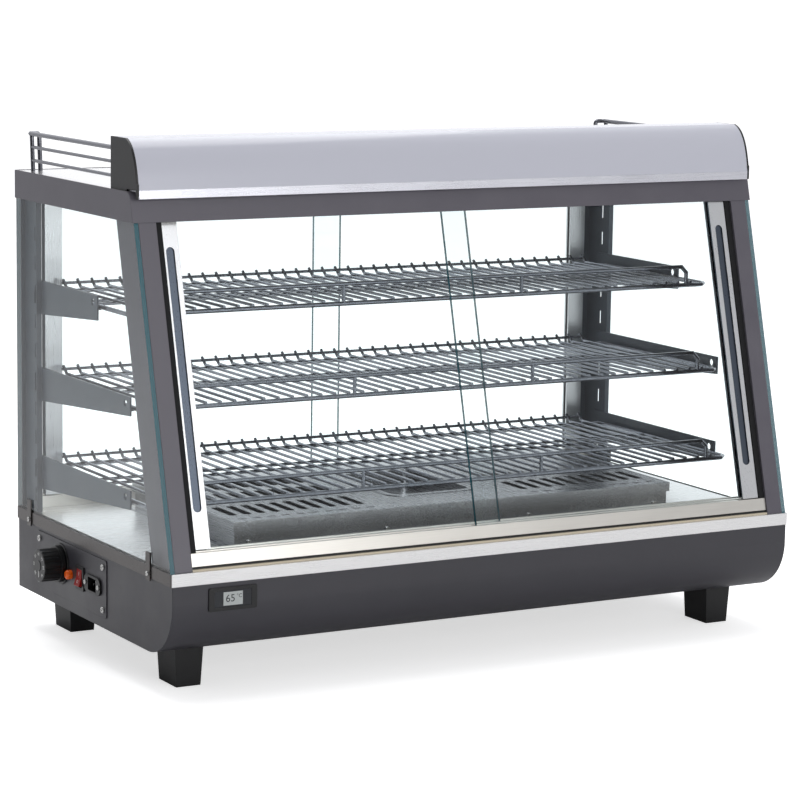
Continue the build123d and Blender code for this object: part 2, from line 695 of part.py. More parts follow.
def small_screw():
    """Pan head screw, head along -Z, its bearing face at the origin."""
    head = Cylinder(SMALL_SCREW_HEAD_R, SMALL_SCREW_HEAD, align=(Align.CENTER, Align.CENTER, Align.MAX))
    head = fillet(head.edges().group_by(Axis.Z)[0], SMALL_SCREW_HEAD / 2)
    head -= Pos(0, 0, -SMALL_SCREW_HEAD) * Box(2 * SMALL_SCREW_HEAD_R - 2, 0.8, 1.2)
    head -= Pos(0, 0, -SMALL_SCREW_HEAD) * Box(0.8, 2 * SMALL_SCREW_HEAD_R - 2, 1.2)
    return head + rod_z(0, 0, (-0.5, SMALL_SCREW_LENGTH), SMALL_SCREW_R)


def make_small_screws():
    """Screws of the inlet flange, the glass clips and the heater frame."""
    screw = small_screw()
    face = PLATE_X - INLET_FACE_THICK
    screws = [Pos(face, y, INLET_Z) * Rot(0, 90, 0) * screw for y in inlet_screw_positions()]
    outer = CLIP_OUT
    for y in CLIP_Y:
        screws.append(Pos(-outer, y, CLIP_SCREW_Z) * Rot(0, 90, 0) * screw)
        screws.append(Pos(outer, y, CLIP_SCREW_Z) * Rot(0, -90, 0) * screw)
    for x, z in frame_screw_positions():
        screws.append(Pos(x, HEATER_Y[0], z) * Rot(-90, 0, 0) * screw)
    return Compound(screws)


# ================================================================ front display
METER_Y = -REAR + FRONT_INSET     # outer face of the base front


def meter_box(size, y):
    x = (METER_X - size[0] / 2, METER_X + size[0] / 2)
    z = (METER_Z - size[1] / 2, METER_Z + size[1] / 2)
    return block(x, y, z)


def meter_window():
    return (METER_FACE[0] - 2 * METER_WALL - 4, METER_FACE[1] - 2 * METER_WALL + 2)


def make_thermometer():
    """Case of the digital thermometer, clipped into the base front."""
    face = meter_box(METER_FACE, (METER_Y - METER_RIM, METER_Y))
    face = fillet(face.edges().filter_by(Axis.Y), 2.0)
    body = meter_box(METER_BODY, (METER_Y - 1, METER_Y + METER_DEPTH))
    room = meter_box(meter_window(), (METER_Y - 9, METER_Y + METER_DEPTH - 4))
    return face + body - room


def make_thermometer_display():
    """Display block with its window, set just behind the rim of the case."""
    return meter_box(meter_window(), (METER_Y - METER_RIM + METER_SET_BACK, METER_Y + METER_DEPTH - 4))


# ================================================================ posts and glass
def make_front_post(side):
    """Folded box post that follows the sloping front, with a flange behind."""
    z = (DECK_TOP, FRAME_UNDER)
    box_part = slab(sided(side, POST_IN, POST_OUT), (0, POST_BOX), z)
    bore = slab(
        sided(side, POST_IN + POST_SHEET, POST_OUT - POST_SHEET),
        (POST_SHEET, POST_BOX - POST_SHEET),
        (z[0] - 1, z[1] + 1),
    )
    flange = slab(
        sided(side, POST_OUT - 2 * POST_SHEET, POST_OUT - POST_SHEET),
        (POST_BOX - POST_SHEET, POST_BOX + POST_FLANGE),
        z,
    )
    return box_part - bore + flange


def slot_levels():
    """Heights of the slots; every shelf level has one near its bracket's top."""
    start = SHELF_LEVELS["bottom"] - 16.0
    count = int((FRAME_UNDER - 30 - start) / SLOT_PITCH) + 1
    return [
        start + index * SLOT_PITCH
        for index in range(-1, count)
        if start + index * SLOT_PITCH > DECK_TOP + 15
    ]


def make_rear_post(side):
    """Slotted channel post at a rear corner."""
    z = (DECK_TOP, FRAME_UNDER)
    web = block(sided(side, REAR_WEB_IN, REAR_WEB_IN + POST_SHEET), (REAR_WEB_Y, REAR_FACE), z)
    front = block(sided(side, REAR_WEB_IN, POST_OUT), (REAR_WEB_Y, REAR_WEB_Y + POST_SHEET), z)
    rear = block(sided(side, REAR_LIP_IN, POST_OUT), (REAR_FACE - POST_SHEET, REAR_FACE), z)
    post = web + front + rear
    x = sided(side, REAR_WEB_IN - 1, REAR_WEB_IN + POST_SHEET + 1)
    for level in slot_levels():
        z_slot = (level - SLOT_HEIGHT / 2, level + SLOT_HEIGHT / 2)
        post -= block(x, (SLOT_Y - SLOT_WIDTH / 2, SLOT_Y + SLOT_WIDTH / 2), z_slot)
    return post


def make_side_glass(side):
    """Fixed glass end, cut to the slope of the front."""
    low = front_y(DECK_TOP) + GLASS_SETBACK * SQUARE
    high = front_y(FRAME_UNDER) + GLASS_SETBACK * SQUARE
    rear = REAR_FACE - 0.5
    points = [(low, DECK_TOP), (rear, DECK_TOP), (rear, FRAME_UNDER), (high, FRAME_UNDER)]
    return prism_x(points, sided(side, GLASS_IN, GLASS_OUT))


def make_glass_clips():
    """Small bent clips that hold the foot of the side glass."""
    clips = []
    for side in (-1, 1):
        for y in CLIP_Y:
            across = (y - CLIP_WIDTH / 2, y + CLIP_WIDTH / 2)
            down = (DECK_TOP - DECK_FLANGE - CLIP_BELOW, DECK_TOP + CLIP_ABOVE)
            plate = block(sided(side, CLIP_OUT - CLIP_THICK, CLIP_OUT), across, down)
            pad = block(
                sided(side, GLASS_OUT, CLIP_OUT - CLIP_THICK / 2), across, (DECK_TOP, DECK_TOP + CLIP_ABOVE)
            )
            hole = rod_x(sided(side, HALF - 5, HALF + 5), y, CLIP_SCREW_Z, SMALL_SCREW_R + SCREW_FIT)
            clips.append(plate + pad - hole)
    return Compound(clips)


# ================================================================ sliding doors
GROOVE = PANE + 2 * PANE_PLAY
TRACK_WALLS = (
    (0.0, TRACK_WALL),
    (TRACK_WALL + GROOVE, TRACK_WALL + GROOVE + TRACK_RIB),
    (TRACK_WALL + 2 * GROOVE + TRACK_RIB, 2 * TRACK_WALL + 2 * GROOVE + TRACK_RIB),
)
TRACK_DEPTH = TRACK_WALLS[2][1]
PANE_DEPTHS = (TRACK_WALL + PANE_PLAY, TRACK_WALL + GROOVE + TRACK_RIB + PANE_PLAY)
TRACK_HALF = POST_IN - SLIP
REAR_TRACK_HALF = REAR_WEB_IN - SLIP
SILL_TOP = DECK_TOP + SILL
TRACK_UNDER = SILL_TOP + GASKET
TRACK_TOP = TRACK_UNDER + TRACK_HEIGHT
CEILING_UNDER = FRAME_UNDER + POST_SHEET
REAR_TRACK_Y = REAR_FACE - POST_SHEET - TRACK_DEPTH


def front_layer(depth, half, z):
    """Piece of the front track, depth counted from its own front face."""
    reach = tuple(TRACK_SETBACK + value for value in depth)
    return slab((-half, half), reach, z)


def make_front_track_bottom():
    """Extruded lower track of the front doors: two grooves between three walls."""
    track = front_layer((0, TRACK_DEPTH), TRACK_HALF, (TRACK_UNDER, TRACK_UNDER + TRACK_BASE))
    for wall in TRACK_WALLS:
        track += front_layer(wall, TRACK_HALF, (TRACK_UNDER, TRACK_TOP))
    return track


def make_front_track_top():
    """Upper track of the front doors, inside the top frame."""
    roof = CEILING_UNDER + TRACK_CEILING
    track = front_layer((-1.5, TRACK_DEPTH), TRACK_HALF, (roof, roof + TRACK_BASE))
    track += front_layer((-1.5, TRACK_WALL), TRACK_HALF, (CEILING_UNDER, roof + 1))
    for wall in TRACK_WALLS[1:]:
        track += front_layer(wall, TRACK_HALF, (CEILING_UNDER, roof + 1))
    return track


def make_front_sill():
    """Thin strip on the deck under the front doors."""
    return slab(
        (-TRACK_HALF, TRACK_HALF), (TRACK_SETBACK - 1.5, TRACK_SETBACK + TRACK_DEPTH), (DECK_TOP, SILL_TOP)
    )


def make_front_gasket():
    """Dark gasket between sill and track, set back."""
    return slab(
        (-TRACK_HALF, TRACK_HALF), (TRACK_SETBACK + 2, TRACK_SETBACK + TRACK_DEPTH), (SILL_TOP, TRACK_UNDER)
    )


def rear_layer(depth, z):
    """Piece of a rear track, depth counted from its inner face."""
    return block((-REAR_TRACK_HALF, REAR_TRACK_HALF), (REAR_TRACK_Y + depth[0], REAR_TRACK_Y + depth[1]), z)


def make_rear_track_bottom():
    """Lower track of the rear doors, on the deck."""
    track = rear_layer((0, TRACK_DEPTH), (DECK_TOP, DECK_TOP + TRACK_BASE))
    for wall in TRACK_WALLS:
        track += rear_layer(wall, (DECK_TOP, DECK_TOP + TRACK_HEIGHT))
    return track


def make_rear_track_top():
    """Upper track of the rear doors."""
    roof = CEILING_UNDER + TRACK_CEILING
    track = rear_layer((0, TRACK_DEPTH), (roof, roof + TRACK_BASE))
    for wall in TRACK_WALLS:
        track += rear_layer(wall, (CEILING_UNDER, roof + 1))
    return track


def front_pane_depth(lane):
    start = TRACK_SETBACK + PANE_DEPTHS[lane]
    return (start, start + PANE)


def make_front_pane(side, lane):
    """Sliding pane of a front door."""
    z = (TRACK_UNDER + TRACK_BASE + PANE_PLAY, CEILING_UNDER + PANE_LIFT)
    x = tuple(sorted((-side * FRONT_OVERLAP, side * (FRONT_DOOR_EDGE - STILE_EDGE))))
    return slab(x, front_pane_depth(lane), z)


def make_front_stile(side, lane):
    """Aluminium edge profile of a front door with a long pull recess."""
    near, far = front_pane_depth(lane)
    z = (TRACK_TOP + RUN, FRAME_UNDER - RUN)
    x = sided(side, FRONT_DOOR_EDGE - STILE_WIDTH, FRONT_DOOR_EDGE)
    stile = slab(x, (near - STILE_LIP, far + STILE_LIP), z)
    stile -= slab(sided(side, 0, FRONT_DOOR_EDGE - STILE_EDGE), (near, far), (z[0] - 1, z[1] + 1))
    half_run = (PULL_LENGTH - PULL_WIDTH) / 2 / SQUARE
    x_mid = side * (FRONT_DOOR_EDGE - STILE_WIDTH / 2)
    pocket = slab(
        (x_mid - PULL_WIDTH / 2, x_mid + PULL_WIDTH / 2),
        (near - STILE_LIP - 1, near - STILE_LIP + PULL_DEPTH),
        (PULL_MID_Z - half_run, PULL_MID_Z + half_run),
    )
    face_depth = near - STILE_LIP + (PULL_DEPTH - 1) / 2
    for level in (PULL_MID_Z - half_run, PULL_MID_Z + half_run):
        centre = (x_mid, front_y(level) + face_depth * SQUARE, level)
        pocket += Pos(*centre) * Rot(90 - SLOPE, 0, 0) * Cylinder(PULL_WIDTH / 2, PULL_DEPTH + 1)
    return stile - pocket


def rear_pane_y(lane):
    start = REAR_TRACK_Y + PANE_DEPTHS[lane]
    return (start, start + PANE)


def make_rear_pane(side, lane):
    """Sliding pane of a rear door."""
    z = (DECK_TOP + TRACK_BASE + PANE_PLAY, CEILING_UNDER + PANE_LIFT)
    x = tuple(sorted((-side * REAR_OVERLAP, side * (REAR_DOOR_EDGE - STILE_EDGE))))
    return block(x, rear_pane_y(lane), z)


def make_rear_stile(side, lane):
    """Edge profile of a rear door; its pull faces the server."""
    near, far = rear_pane_y(lane)
    z = (DECK_TOP + TRACK_HEIGHT + RUN, FRAME_UNDER - RUN)
    x = sided(side, REAR_DOOR_EDGE - STILE_WIDTH, REAR_DOOR_EDGE)
    stile = block(x, (near - STILE_LIP, far + STILE_LIP), z)
    stile -= block(sided(side, 0, REAR_DOOR_EDGE - STILE_EDGE), (near, far), (z[0] - 1, z[1] + 1))
    x_mid = side * (REAR_DOOR_EDGE - STILE_WIDTH / 2)
    half_run = (PULL_LENGTH - PULL_WIDTH) / 2
    y = (far + STILE_LIP - PULL_DEPTH, far + STILE_LIP + 1)
    pocket = block(
        (x_mid - PULL_WIDTH / 2, x_mid + PULL_WIDTH / 2), y, (PULL_MID_Z - half_run, PULL_MID_Z + half_run)
    )
    for level in (PULL_MID_Z - half_run, PULL_MID_Z + half_run):
        pocket += rod_y(x_mid, y, level, PULL_WIDTH / 2)
    return stile - pocket


def make_post_seals():
    """Dark brush seals between the front posts and the doors."""
    depth = (TRACK_SETBACK + 1.5, TRACK_SETBACK + TRACK_DEPTH - 2)
    z = (TRACK_TOP + SLIP, FRAME_UNDER)
    return pair(lambda side: slab(sided(side, POST_IN - SEAL_THICK, POST_IN), depth, z))


# ================================================================ top frame
CANOPY_FRONT = front_y(FRAME_TOP) - SQUARE - CANOPY_OVERHANG
CANOPY_FLAT = CANOPY_FRONT + CANOPY_CURVE
CANOPY_BACK = CANOPY_FRONT + CANOPY_DEPTH
TUBE_Y = CANOPY_BACK - TUBE_BACK
TUBE_Z = FRAME_TOP + TUBE_LIFT


def frame_outline(inset, over):
    """Side view of the top frame with its rounded top front edge."""
    low, high = FRAME_UNDER - over, FRAME_TOP - inset
    face = (-1.0 + inset) * SQUARE
    rear = REAR_FACE - inset
    radius = FRAME_ROUND - inset
    points = [
        (front_y(low) + face, low),
        (rear, low),
        (rear, high),
        (front_y(high) + face, high),
    ]
    outline = Polygon(*points, align=None)
    corner = outline.vertices().sort_by(lambda v: v.X - v.Y)[0]
    return Plane.YZ * fillet(corner, radius)


def make_top_frame():
    """Skirt around the top, with a ledge along each end for posts and glass."""
    outer_half = HALF + SIDE_SPREAD
    inner_half = outer_half - POST_SHEET
    shell = draw_x(frame_outline(0, 0), (-outer_half, outer_half))
    shell -= draw_x(frame_outline(POST_SHEET, 5), (-inner_half, inner_half))
    opening_y = (CANOPY_FLAT - 4, REAR_FACE - POST_SHEET)
    shell -= block((-inner_half, inner_half), opening_y, (FRAME_TOP - 5, FRAME_TOP + 5))
    for side in (-1, 1):
        ledge = slab(
            sided(side, inner_half - FRAME_LEDGE, inner_half + 0.5),
            (0.2, 30),
            (FRAME_UNDER, CEILING_UNDER),
        )
        rest = block(
            sided(side, inner_half - FRAME_LEDGE, inner_half + 0.5),
            (front_y(FRAME_UNDER) + 28 * SQUARE, REAR_FACE - 0.5),
            (FRAME_UNDER, CEILING_UNDER),
        )
        shell += ledge + rest
    return shell


def make_top_sheet():
    """Bright top sheet, used as a shelf behind the canopy."""
    inner_half = HALF + SIDE_SPREAD - POST_SHEET
    y = (CANOPY_FLAT - 4, REAR_FACE - POST_SHEET)
    z = (FRAME_TOP - TOP_SHEET_DROP - SHEET, FRAME_TOP - TOP_SHEET_DROP)
    return block((-inner_half, inner_half), y, z)


SHEET_TOP = FRAME_TOP - TOP_SHEET_DROP


def canopy_outline(inset):
    """Side view of the canopy: flat top, rounded front; inset shrinks it evenly."""
    low = FRAME_TOP + CANOPY_LIFT
    bulge = (CANOPY_FLAT + 0.6 * (CANOPY_FRONT - CANOPY_FLAT), CANOPY_TOP - 0.27 * CANOPY_HEIGHT)
    curve = Spline(
        (CANOPY_FLAT, CANOPY_TOP), bulge, (CANOPY_FRONT, low), tangents=((-1, -0.35), (-0.2, -1))
    )
    steps = [index / CANOPY_STEPS for index in range(CANOPY_STEPS + 1)]
    points = []
    for step in steps:
        along = curve % step
        points.append(
            (curve.position_at(step).X - along.Y * inset, curve.position_at(step).Y + along.X * inset)
        )
    low, top, back = low + inset, CANOPY_TOP - inset, CANOPY_BACK - inset
    front = Spline(*points)
    lines = front + Line(points[-1], (back, low)) + Line((back, low), (back, top))
    lines += Line((back, top), points[0])
    return Plane.YZ * make_face(lines)


def make_canopy_panel():
    """Curved translucent panel."""
    half = CANOPY_HALF - CAP_THICK
    solid = draw_x(canopy_outline(0), (-half, half))
    inner = draw_x(canopy_outline(PANEL_THICK), (-half - 1, half + 1))
    wide = (-half - 1, half + 1)
    back_cut = block(
        wide, (CANOPY_BACK - PANEL_THICK - 1, CANOPY_BACK + 1), (FRAME_TOP - 5, CANOPY_TOP - PANEL_THICK)
    )
    back_cut += block(
        wide, (CANOPY_BACK - SHEET, CANOPY_BACK + 1), (CANOPY_TOP - PANEL_THICK - 1, CANOPY_TOP + 1)
    )
    floor_cut = block(
        (-half - 1, half + 1), (CANOPY_FRONT + PANEL_THICK, CANOPY_BACK + 1), (FRAME_TOP - 5, FRAME_TOP + 6)
    )
    return solid - inner - back_cut - floor_cut


def make_canopy_back():
    """Steel sheet that closes the canopy behind."""
    half = CANOPY_HALF - CAP_THICK
    return block((-half, half), (CANOPY_BACK - SHEET, CANOPY_BACK), (SHEET_TOP, CANOPY_TOP))


def make_canopy_strip():
    """Bright angle strip that carries the lower edge of the panel."""
    half = CANOPY_HALF - CAP_THICK
    y = CANOPY_FRONT
    top = FRAME_TOP + CANOPY_LIFT
    leg = block((-half, half), (y, y + STRIP_THICK), (top - CANOPY_DROP, top))
    shelf = block((-half, half), (y, y + STRIP_LEG), (FRAME_TOP, FRAME_TOP + STRIP_THICK))
    return leg + shelf


def make_canopy_cap(side):
    """Moulded end cap: plate, inner rim and a lip over the strip's end."""
    plate_x = sided(side, CANOPY_HALF - CAP_THICK, CANOPY_HALF)
    rim_x = sided(side, CANOPY_HALF - CAP_THICK - CAP_RIM, CANOPY_HALF - 1)
    plate = draw_x(canopy_outline(0), plate_x)
    foot = block(plate_x, (CANOPY_FLAT - 4 + SLIP, CANOPY_BACK), (SHEET_TOP, FRAME_TOP + 6))
    tip = block(
        plate_x, (CANOPY_FRONT, CANOPY_FRONT + 3), (FRAME_TOP + CANOPY_LIFT - CANOPY_DROP, FRAME_TOP + 10)
    )
    rim = draw_x(canopy_outline(PANEL_THICK + 0.2), rim_x) - draw_x(
        canopy_outline(PANEL_THICK + CAP_WALL), rim_x
    )
    return plate + foot + tip + rim


def make_lamp_tube():
    """Lamp tube behind the canopy panel."""
    return rod_x((-TUBE_HALF, TUBE_HALF), TUBE_Y, TUBE_Z, TUBE_R)


def make_lamp_holders():
    """Holders at both ends of the tube, standing on the top sheet."""
    thick, width = HOLDER
    holders = []
    for side in (-1, 1):
        x = sided(side, TUBE_HALF - thick / 2, TUBE_HALF + thick / 2)
        body = block(x, (TUBE_Y - width / 2, TUBE_Y + width / 2), (SHEET_TOP, TUBE_Z + 4))
        body += rod_x(x, TUBE_Y, TUBE_Z, width / 2)
        holders.append(body - rod_x(sided(side, 0, TUBE_HALF), TUBE_Y, TUBE_Z, TUBE_R))
    return Compound(holders)


def make_rail(side):
    """Gallery rail: thick top wire, turned down at the rear, a corner post and two thin wires."""
    x = side * RAIL_X
    inner = side * (RAIL_X - RAIL_RETURN)
    foot = SHEET_TOP + SLIP
    corner_y = RAIL_REAR - 2 * RAIL_TOP_R - 1
    path = [(x, CANOPY_BACK, RAIL_Z), (x, RAIL_REAR, RAIL_Z), (inner, RAIL_REAR, RAIL_Z)]
    path.append((inner, RAIL_REAR - RAIL_LEAN, foot))
    pieces = [tube(path, RAIL_TOP_R, RAIL_BEND / 2, (side, 0, 0))]
    pieces.append(bar((x, corner_y, RAIL_Z), (x, corner_y - RAIL_LEAN, foot), RAIL_POST_R))
    for step in (1, 2):
        z = RAIL_Z - step * RAIL_STEP
        pieces.append(rod_y(x, (CANOPY_BACK, corner_y - RAIL_LEAN / 2), z, RAIL_WIRE_R))
    return fuse(pieces)


# ================================================================ shelves
def shelf_front(level):
    """Y of a shelf's front wire, set back from the sloping front at its height."""
    return front_y(SHELF_LEVELS[level] - SHELF_DROP) + SHELF_CLEAR[level]


def wire(points, radius, up):
    """Wire of eight flats through the points, mitred at its bends; up is a side it keeps facing."""
    line = Polyline(*points)
    start = Plane(origin=line @ 0, x_dir=up, z_dir=line % 0)
    section = RegularPolygon(radius, WIRE_FLATS, rotation=180 / WIRE_FLATS)
    return sweep(start * section, path=line, transition=Transition.RIGHT)


def make_shelf(level):
    """Wire shelf: frame, rods that ramp up at the rear, cross wires and a front lip."""
    frame_z = SHELF_LEVELS[level] - SHELF_DROP
    front = shelf_front(level)
    rear_low = SHELF_REAR - ROD_RAMP
    cut = SHELF_CORNER
    loop = [
        (-SHELF_HALF, rear_low + LOOP_OVERRUN, frame_z),
        (-SHELF_HALF, front + cut, frame_z),
        (-SHELF_HALF + cut, front, frame_z),
        (SHELF_HALF - cut, front, frame_z),
        (SHELF_HALF, front + cut, frame_z),
        (SHELF_HALF, rear_low + LOOP_OVERRUN, frame_z),
    ]
    across = (-SHELF_HALF, SHELF_HALF)
    pieces = [wire(loop, FRAME_WIRE_R, (0, 0, 1))]
    pieces.append(wire([(x, rear_low, frame_z) for x in across], REAR_WIRE_R, (0, 0, 1)))
    for inset in CROSS_INSETS:
        pieces.append(
            wire([(x, SHELF_REAR - inset, frame_z + CROSS_RAISE) for x in across], ROD_R, (0, 0, 1))
        )
    rod_z_mid = frame_z + FRAME_WIRE_R + ROD_R - WELD
    rise_z = rod_z_mid + ROD_RISE
    side_rods = int((SHELF_HALF - cut - FRAME_WIRE_R - ROD_R) / ROD_PITCH)
    last_x = side_rods * ROD_PITCH
    top_run = last_x + TOP_WIRE_OVERRUN
    top_wire = [(x, SHELF_REAR - TOP_WIRE_INSET, rise_z - 2 * ROD_R) for x in (-top_run, top_run)]
    pieces.append(wire(top_wire, ROD_R, (0, 0, 1)))
    for index in range(-side_rods, side_rods + 1):
        x = index * ROD_PITCH
        path = [
            (x, front - ROD_OVERRUN, rod_z_mid), (x, rear_low + ROD_RUN, rod_z_mid), (x, SHELF_REAR, rise_z)
        ]
        pieces.append(wire(path, ROD_R, (0, 0, 1)))
    lip_z = frame_z + LIP_HEIGHT
    bend = LIP_BEND
    lip = [
        (-LIP_HALF, front, frame_z),
        (-LIP_HALF, front, lip_z - bend),
        (-LIP_HALF + bend, front, lip_z),
        (LIP_HALF - bend, front, lip_z),
        (LIP_HALF, front, lip_z - bend),
        (LIP_HALF, front, frame_z),
    ]
    pieces.append(wire(lip, LIP_R, (0, -1, 0)))
    for x in (-LIP_POST_SPREAD / 2, LIP_POST_SPREAD / 2):
        pieces.append(wire([(x, front, frame_z), (x, front, lip_z)], LIP_POST_R, (0, -1, 0)))
    return fuse(pieces)


def make_bracket(level, side):
    """Cantilever bracket: tapered plate, ledge for the shelf, hooks in the post."""
    top = SHELF_LEVELS[level]
    tail = REAR_TRACK_Y - BRACKET_TAIL_GAP
    front = tail - BRACKET_LENGTHS[level]
    x = sided(side, REAR_WEB_IN - BRACKET_THICK, REAR_WEB_IN)
    rear_low = top - BRACKET_REAR_HEIGHT
    front_low = rear_low + (REAR_WEB_Y - front) * BRACKET_TAPER
    points = [(front, front_low), (front, top), (tail, top), (tail, rear_low), (REAR_WEB_Y, rear_low)]
    plate = prism_x(points, x)
    ledge_top = top - SHELF_DROP - FRAME_WIRE_R
    ledge_x = sided(side, REAR_WEB_IN - BRACKET_THICK - BRACKET_LEDGE, REAR_WEB_IN - BRACKET_THICK / 2)
    ledge = block(ledge_x, (front + 12, SHELF_REAR - ROD_RAMP + 3), (ledge_top - POST_SHEET, ledge_top))
    hole = rod_x(sided(side, REAR_WEB_IN - 9, REAR_WEB_IN + 9), front + 14, top - 9, BRACKET_HOLE_R)
    bracket = plate + ledge - hole
    for slot in slot_levels():
        if rear_low < slot < top:
            bracket += make_hook(side, slot)
    return bracket


def make_hook(side, slot):
    """Tongue through a slot of the post, turned down behind it."""
    y = (SLOT_Y - SLOT_WIDTH / 2 + SLIP, SLOT_Y + SLOT_WIDTH / 2 - SLIP)
    low = slot - SLOT_HEIGHT / 2
    reach = REAR_WEB_IN + POST_SHEET
    tongue = block(sided(side, REAR_WEB_IN - 1, reach + 2), y, (low, low + 10))
    turned = block(sided(side, reach + 0.2, reach + 2), y, (low - 5, low + 10))
    return tongue + turned


# ================================================================ heater
COVER_UNDER = DECK_TOP + HEATER_HEIGHT - SHEET
COVER_TOP = DECK_TOP + HEATER_HEIGHT


def make_heater_frame():
    """Upstand around the heater opening, with a foot flange."""
    x = (-HEATER_HALF, HEATER_HALF)
    ring = block(x, HEATER_Y, (DECK_TOP, COVER_UNDER))
    flange_x = (x[0] - HEATER_FLANGE, x[1] + HEATER_FLANGE)
    flange_y = (HEATER_Y[0] - HEATER_FLANGE, HEATER_Y[1] + HEATER_FLANGE)
    ring += block(flange_x, flange_y, (DECK_TOP, DECK_TOP + SHEET))
    inside_x = (x[0] + SHEET, x[1] - SHEET)
    inside_y = (HEATER_Y[0] + SHEET, HEATER_Y[1] - SHEET)
    ring -= block(inside_x, inside_y, (DECK_TOP - 1, COVER_UNDER + 1))
    for x_screw, z_screw in frame_screw_positions():
        y = (HEATER_Y[0] - 3, HEATER_Y[0] + 3)
        ring -= rod_y(x_screw, y, z_screw, SMALL_SCREW_R + SCREW_FIT)
    return ring


def frame_screw_positions():
    z = DECK_TOP + FRAME_SCREW_LIFT
    return [(side * (HEATER_HALF - inset), z) for side in (-1, 1) for inset in FRAME_SCREW_INSETS]


def louvre_columns():
    """X of the slots on one side, from the tray's rim to the cover's end."""
    first = TRAY_HALF[0] + TRAY_RIM + LOUVRE_TRAY_GAP + LOUVRE_PITCH / 2
    last = HEATER_HALF - LOUVRE_MARGIN[0] - LOUVRE_WIDTH / 2
    count = int((last - first) / LOUVRE_PITCH) + 1
    return [first + index * LOUVRE_PITCH for index in range(count)]


def louvre_sketch():
    """All slots of the cover as one sketch."""
    low, high = HEATER_Y[0] + LOUVRE_MARGIN[1], HEATER_Y[1] - LOUVRE_MARGIN[1]
    length = (high - low - (LOUVRE_ROWS - 1) * LOUVRE_BRIDGE) / LOUVRE_ROWS
    slots = Sketch()
    for side in (-1, 1):
        for column in louvre_columns():
            for row in range(LOUVRE_ROWS):
                y = low + length / 2 + row * (length + LOUVRE_BRIDGE)
                slots += Pos(side * column, y) * Rot(0, 0, 90) * SlotOverall(length, LOUVRE_WIDTH)
            slots += Pos(side * column, HEATER_Y[0] + SPOT_INSET) * SlotOverall(SPOT_LENGTH, SPOT_WIDTH)
    return slots


def make_heater_cover():
    """Louvred cover with turned-down edges and an opening for the water tray."""
    x = (-HEATER_HALF - COVER_LIP, HEATER_HALF + COVER_LIP)
    y = (HEATER_Y[0] - COVER_LIP, HEATER_Y[1] + COVER_LIP)
    shell = block(x, y, (COVER_TOP - COVER_SKIRT, COVER_TOP))
    inside_x = (x[0] + SHEET, x[1] - SHEET)
    inside_y = (y[0] + SHEET, y[1] - SHEET)
    shell -= block(inside_x, inside_y, (COVER_TOP - COVER_SKIRT - 1, COVER_UNDER))
    shell -= Pos(0, 0, COVER_UNDER - 1) * extrude(louvre_sketch(), SHEET + 2)
    shell -= tray_body(SLIP, COVER_UNDER - 1, COVER_TOP + 1)
    return shell


def tray_body(extra, low, high):
    """Rounded block the size of the tray's walls."""
    size = (2 * TRAY_HALF[0] + 2 * extra, 2 * TRAY_HALF[1] + 2 * extra)
    return Pos(0, TRAY_MID_Y, low) * extrude(RectangleRounded(*size, TRAY_CORNER), high - low)


def make_water_tray():
    """Humidity tray hanging in the cover by its rim."""
    rim_size = (2 * TRAY_HALF[0] + 2 * TRAY_RIM, 2 * TRAY_HALF[1] + 2 * TRAY_RIM)
    rim = Pos(0, TRAY_MID_Y, COVER_TOP) * extrude(
        RectangleRounded(*rim_size, TRAY_CORNER + TRAY_RIM), TRAY_SHEET
    )
    body = tray_body(0, COVER_TOP - TRAY_DEPTH, COVER_TOP + TRAY_SHEET)
    room = tray_body(-TRAY_SHEET, COVER_TOP - TRAY_DEPTH + TRAY_SHEET, COVER_TOP + TRAY_SHEET + 1)
    return rim + body - room


PAN_HALF = DECK_HOLE_HALF
PAN_BOTTOM = DECK_UNDER - PAN_DEPTH


def make_heater_pan():
    """Reflector pan hung under the deck opening, with cradles for the heating tubes."""
    x = (-PAN_HALF, PAN_HALF)
    pan = block(x, DECK_HOLE_Y, (PAN_BOTTOM, DECK_UNDER))
    wide_x = (x[0] - PAN_FLANGE, x[1] + PAN_FLANGE)
    wide_y = (DECK_HOLE_Y[0] - PAN_FLANGE, DECK_HOLE_Y[1] + PAN_FLANGE)
    pan += block(wide_x, wide_y, (DECK_UNDER - SHEET, DECK_UNDER))
    inside_x = (x[0] + SHEET, x[1] - SHEET)
    inside_y = (DECK_HOLE_Y[0] + SHEET, DECK_HOLE_Y[1] - SHEET)
    pan -= block(inside_x, inside_y, (PAN_BOTTOM + SHEET, DECK_UNDER + 1))
    for side in (-1, 1):
        for y in (TRAY_MID_Y - ELEMENT_HALF, TRAY_MID_Y + ELEMENT_HALF):
            middle = PAN_HALF - CRADLE_INSET
            x = sided(side, middle - CRADLE[0] / 2, middle + CRADLE[0] / 2)
            pan += block(x, (y - CRADLE[1] / 2, y + CRADLE[1] / 2), (PAN_BOTTOM, ELEMENT_Z))
            pan -= rod_x(sided(side, middle - CRADLE[0], PAN_HALF + 5), y, ELEMENT_Z, ELEMENT_R + SCREW_FIT)
    return pan


ELEMENT_Z = PAN_BOTTOM + SHEET + ELEMENT_LIFT


def make_heater_elements():
    """Two hairpin heating tubes, ends through the pan wall."""
    elements = []
    for side in (-1, 1):
        near, far = side * ELEMENT_START, side * (PAN_HALF + ELEMENT_TAIL)
        low, high = TRAY_MID_Y - ELEMENT_HALF, TRAY_MID_Y + ELEMENT_HALF
        path = [
            (far, low, ELEMENT_Z), (near, low, ELEMENT_Z), (near, high, ELEMENT_Z), (far, high, ELEMENT_Z)
        ]
        elements.append(tube(path, ELEMENT_R, ELEMENT_BEND, (0, 0, 1)))
    return Compound(elements)


# ================================================================ write every node
def build_base():
    save("base_wrap", make_base_wrap())
    save("base_side_left", make_base_side(-1))
    save("base_side_right", make_base_side(1))
    save("base_rear", make_base_rear())
    save("deck", make_deck())
    save("feet", make_feet())
    save("foot_bolts", make_foot_bolts())


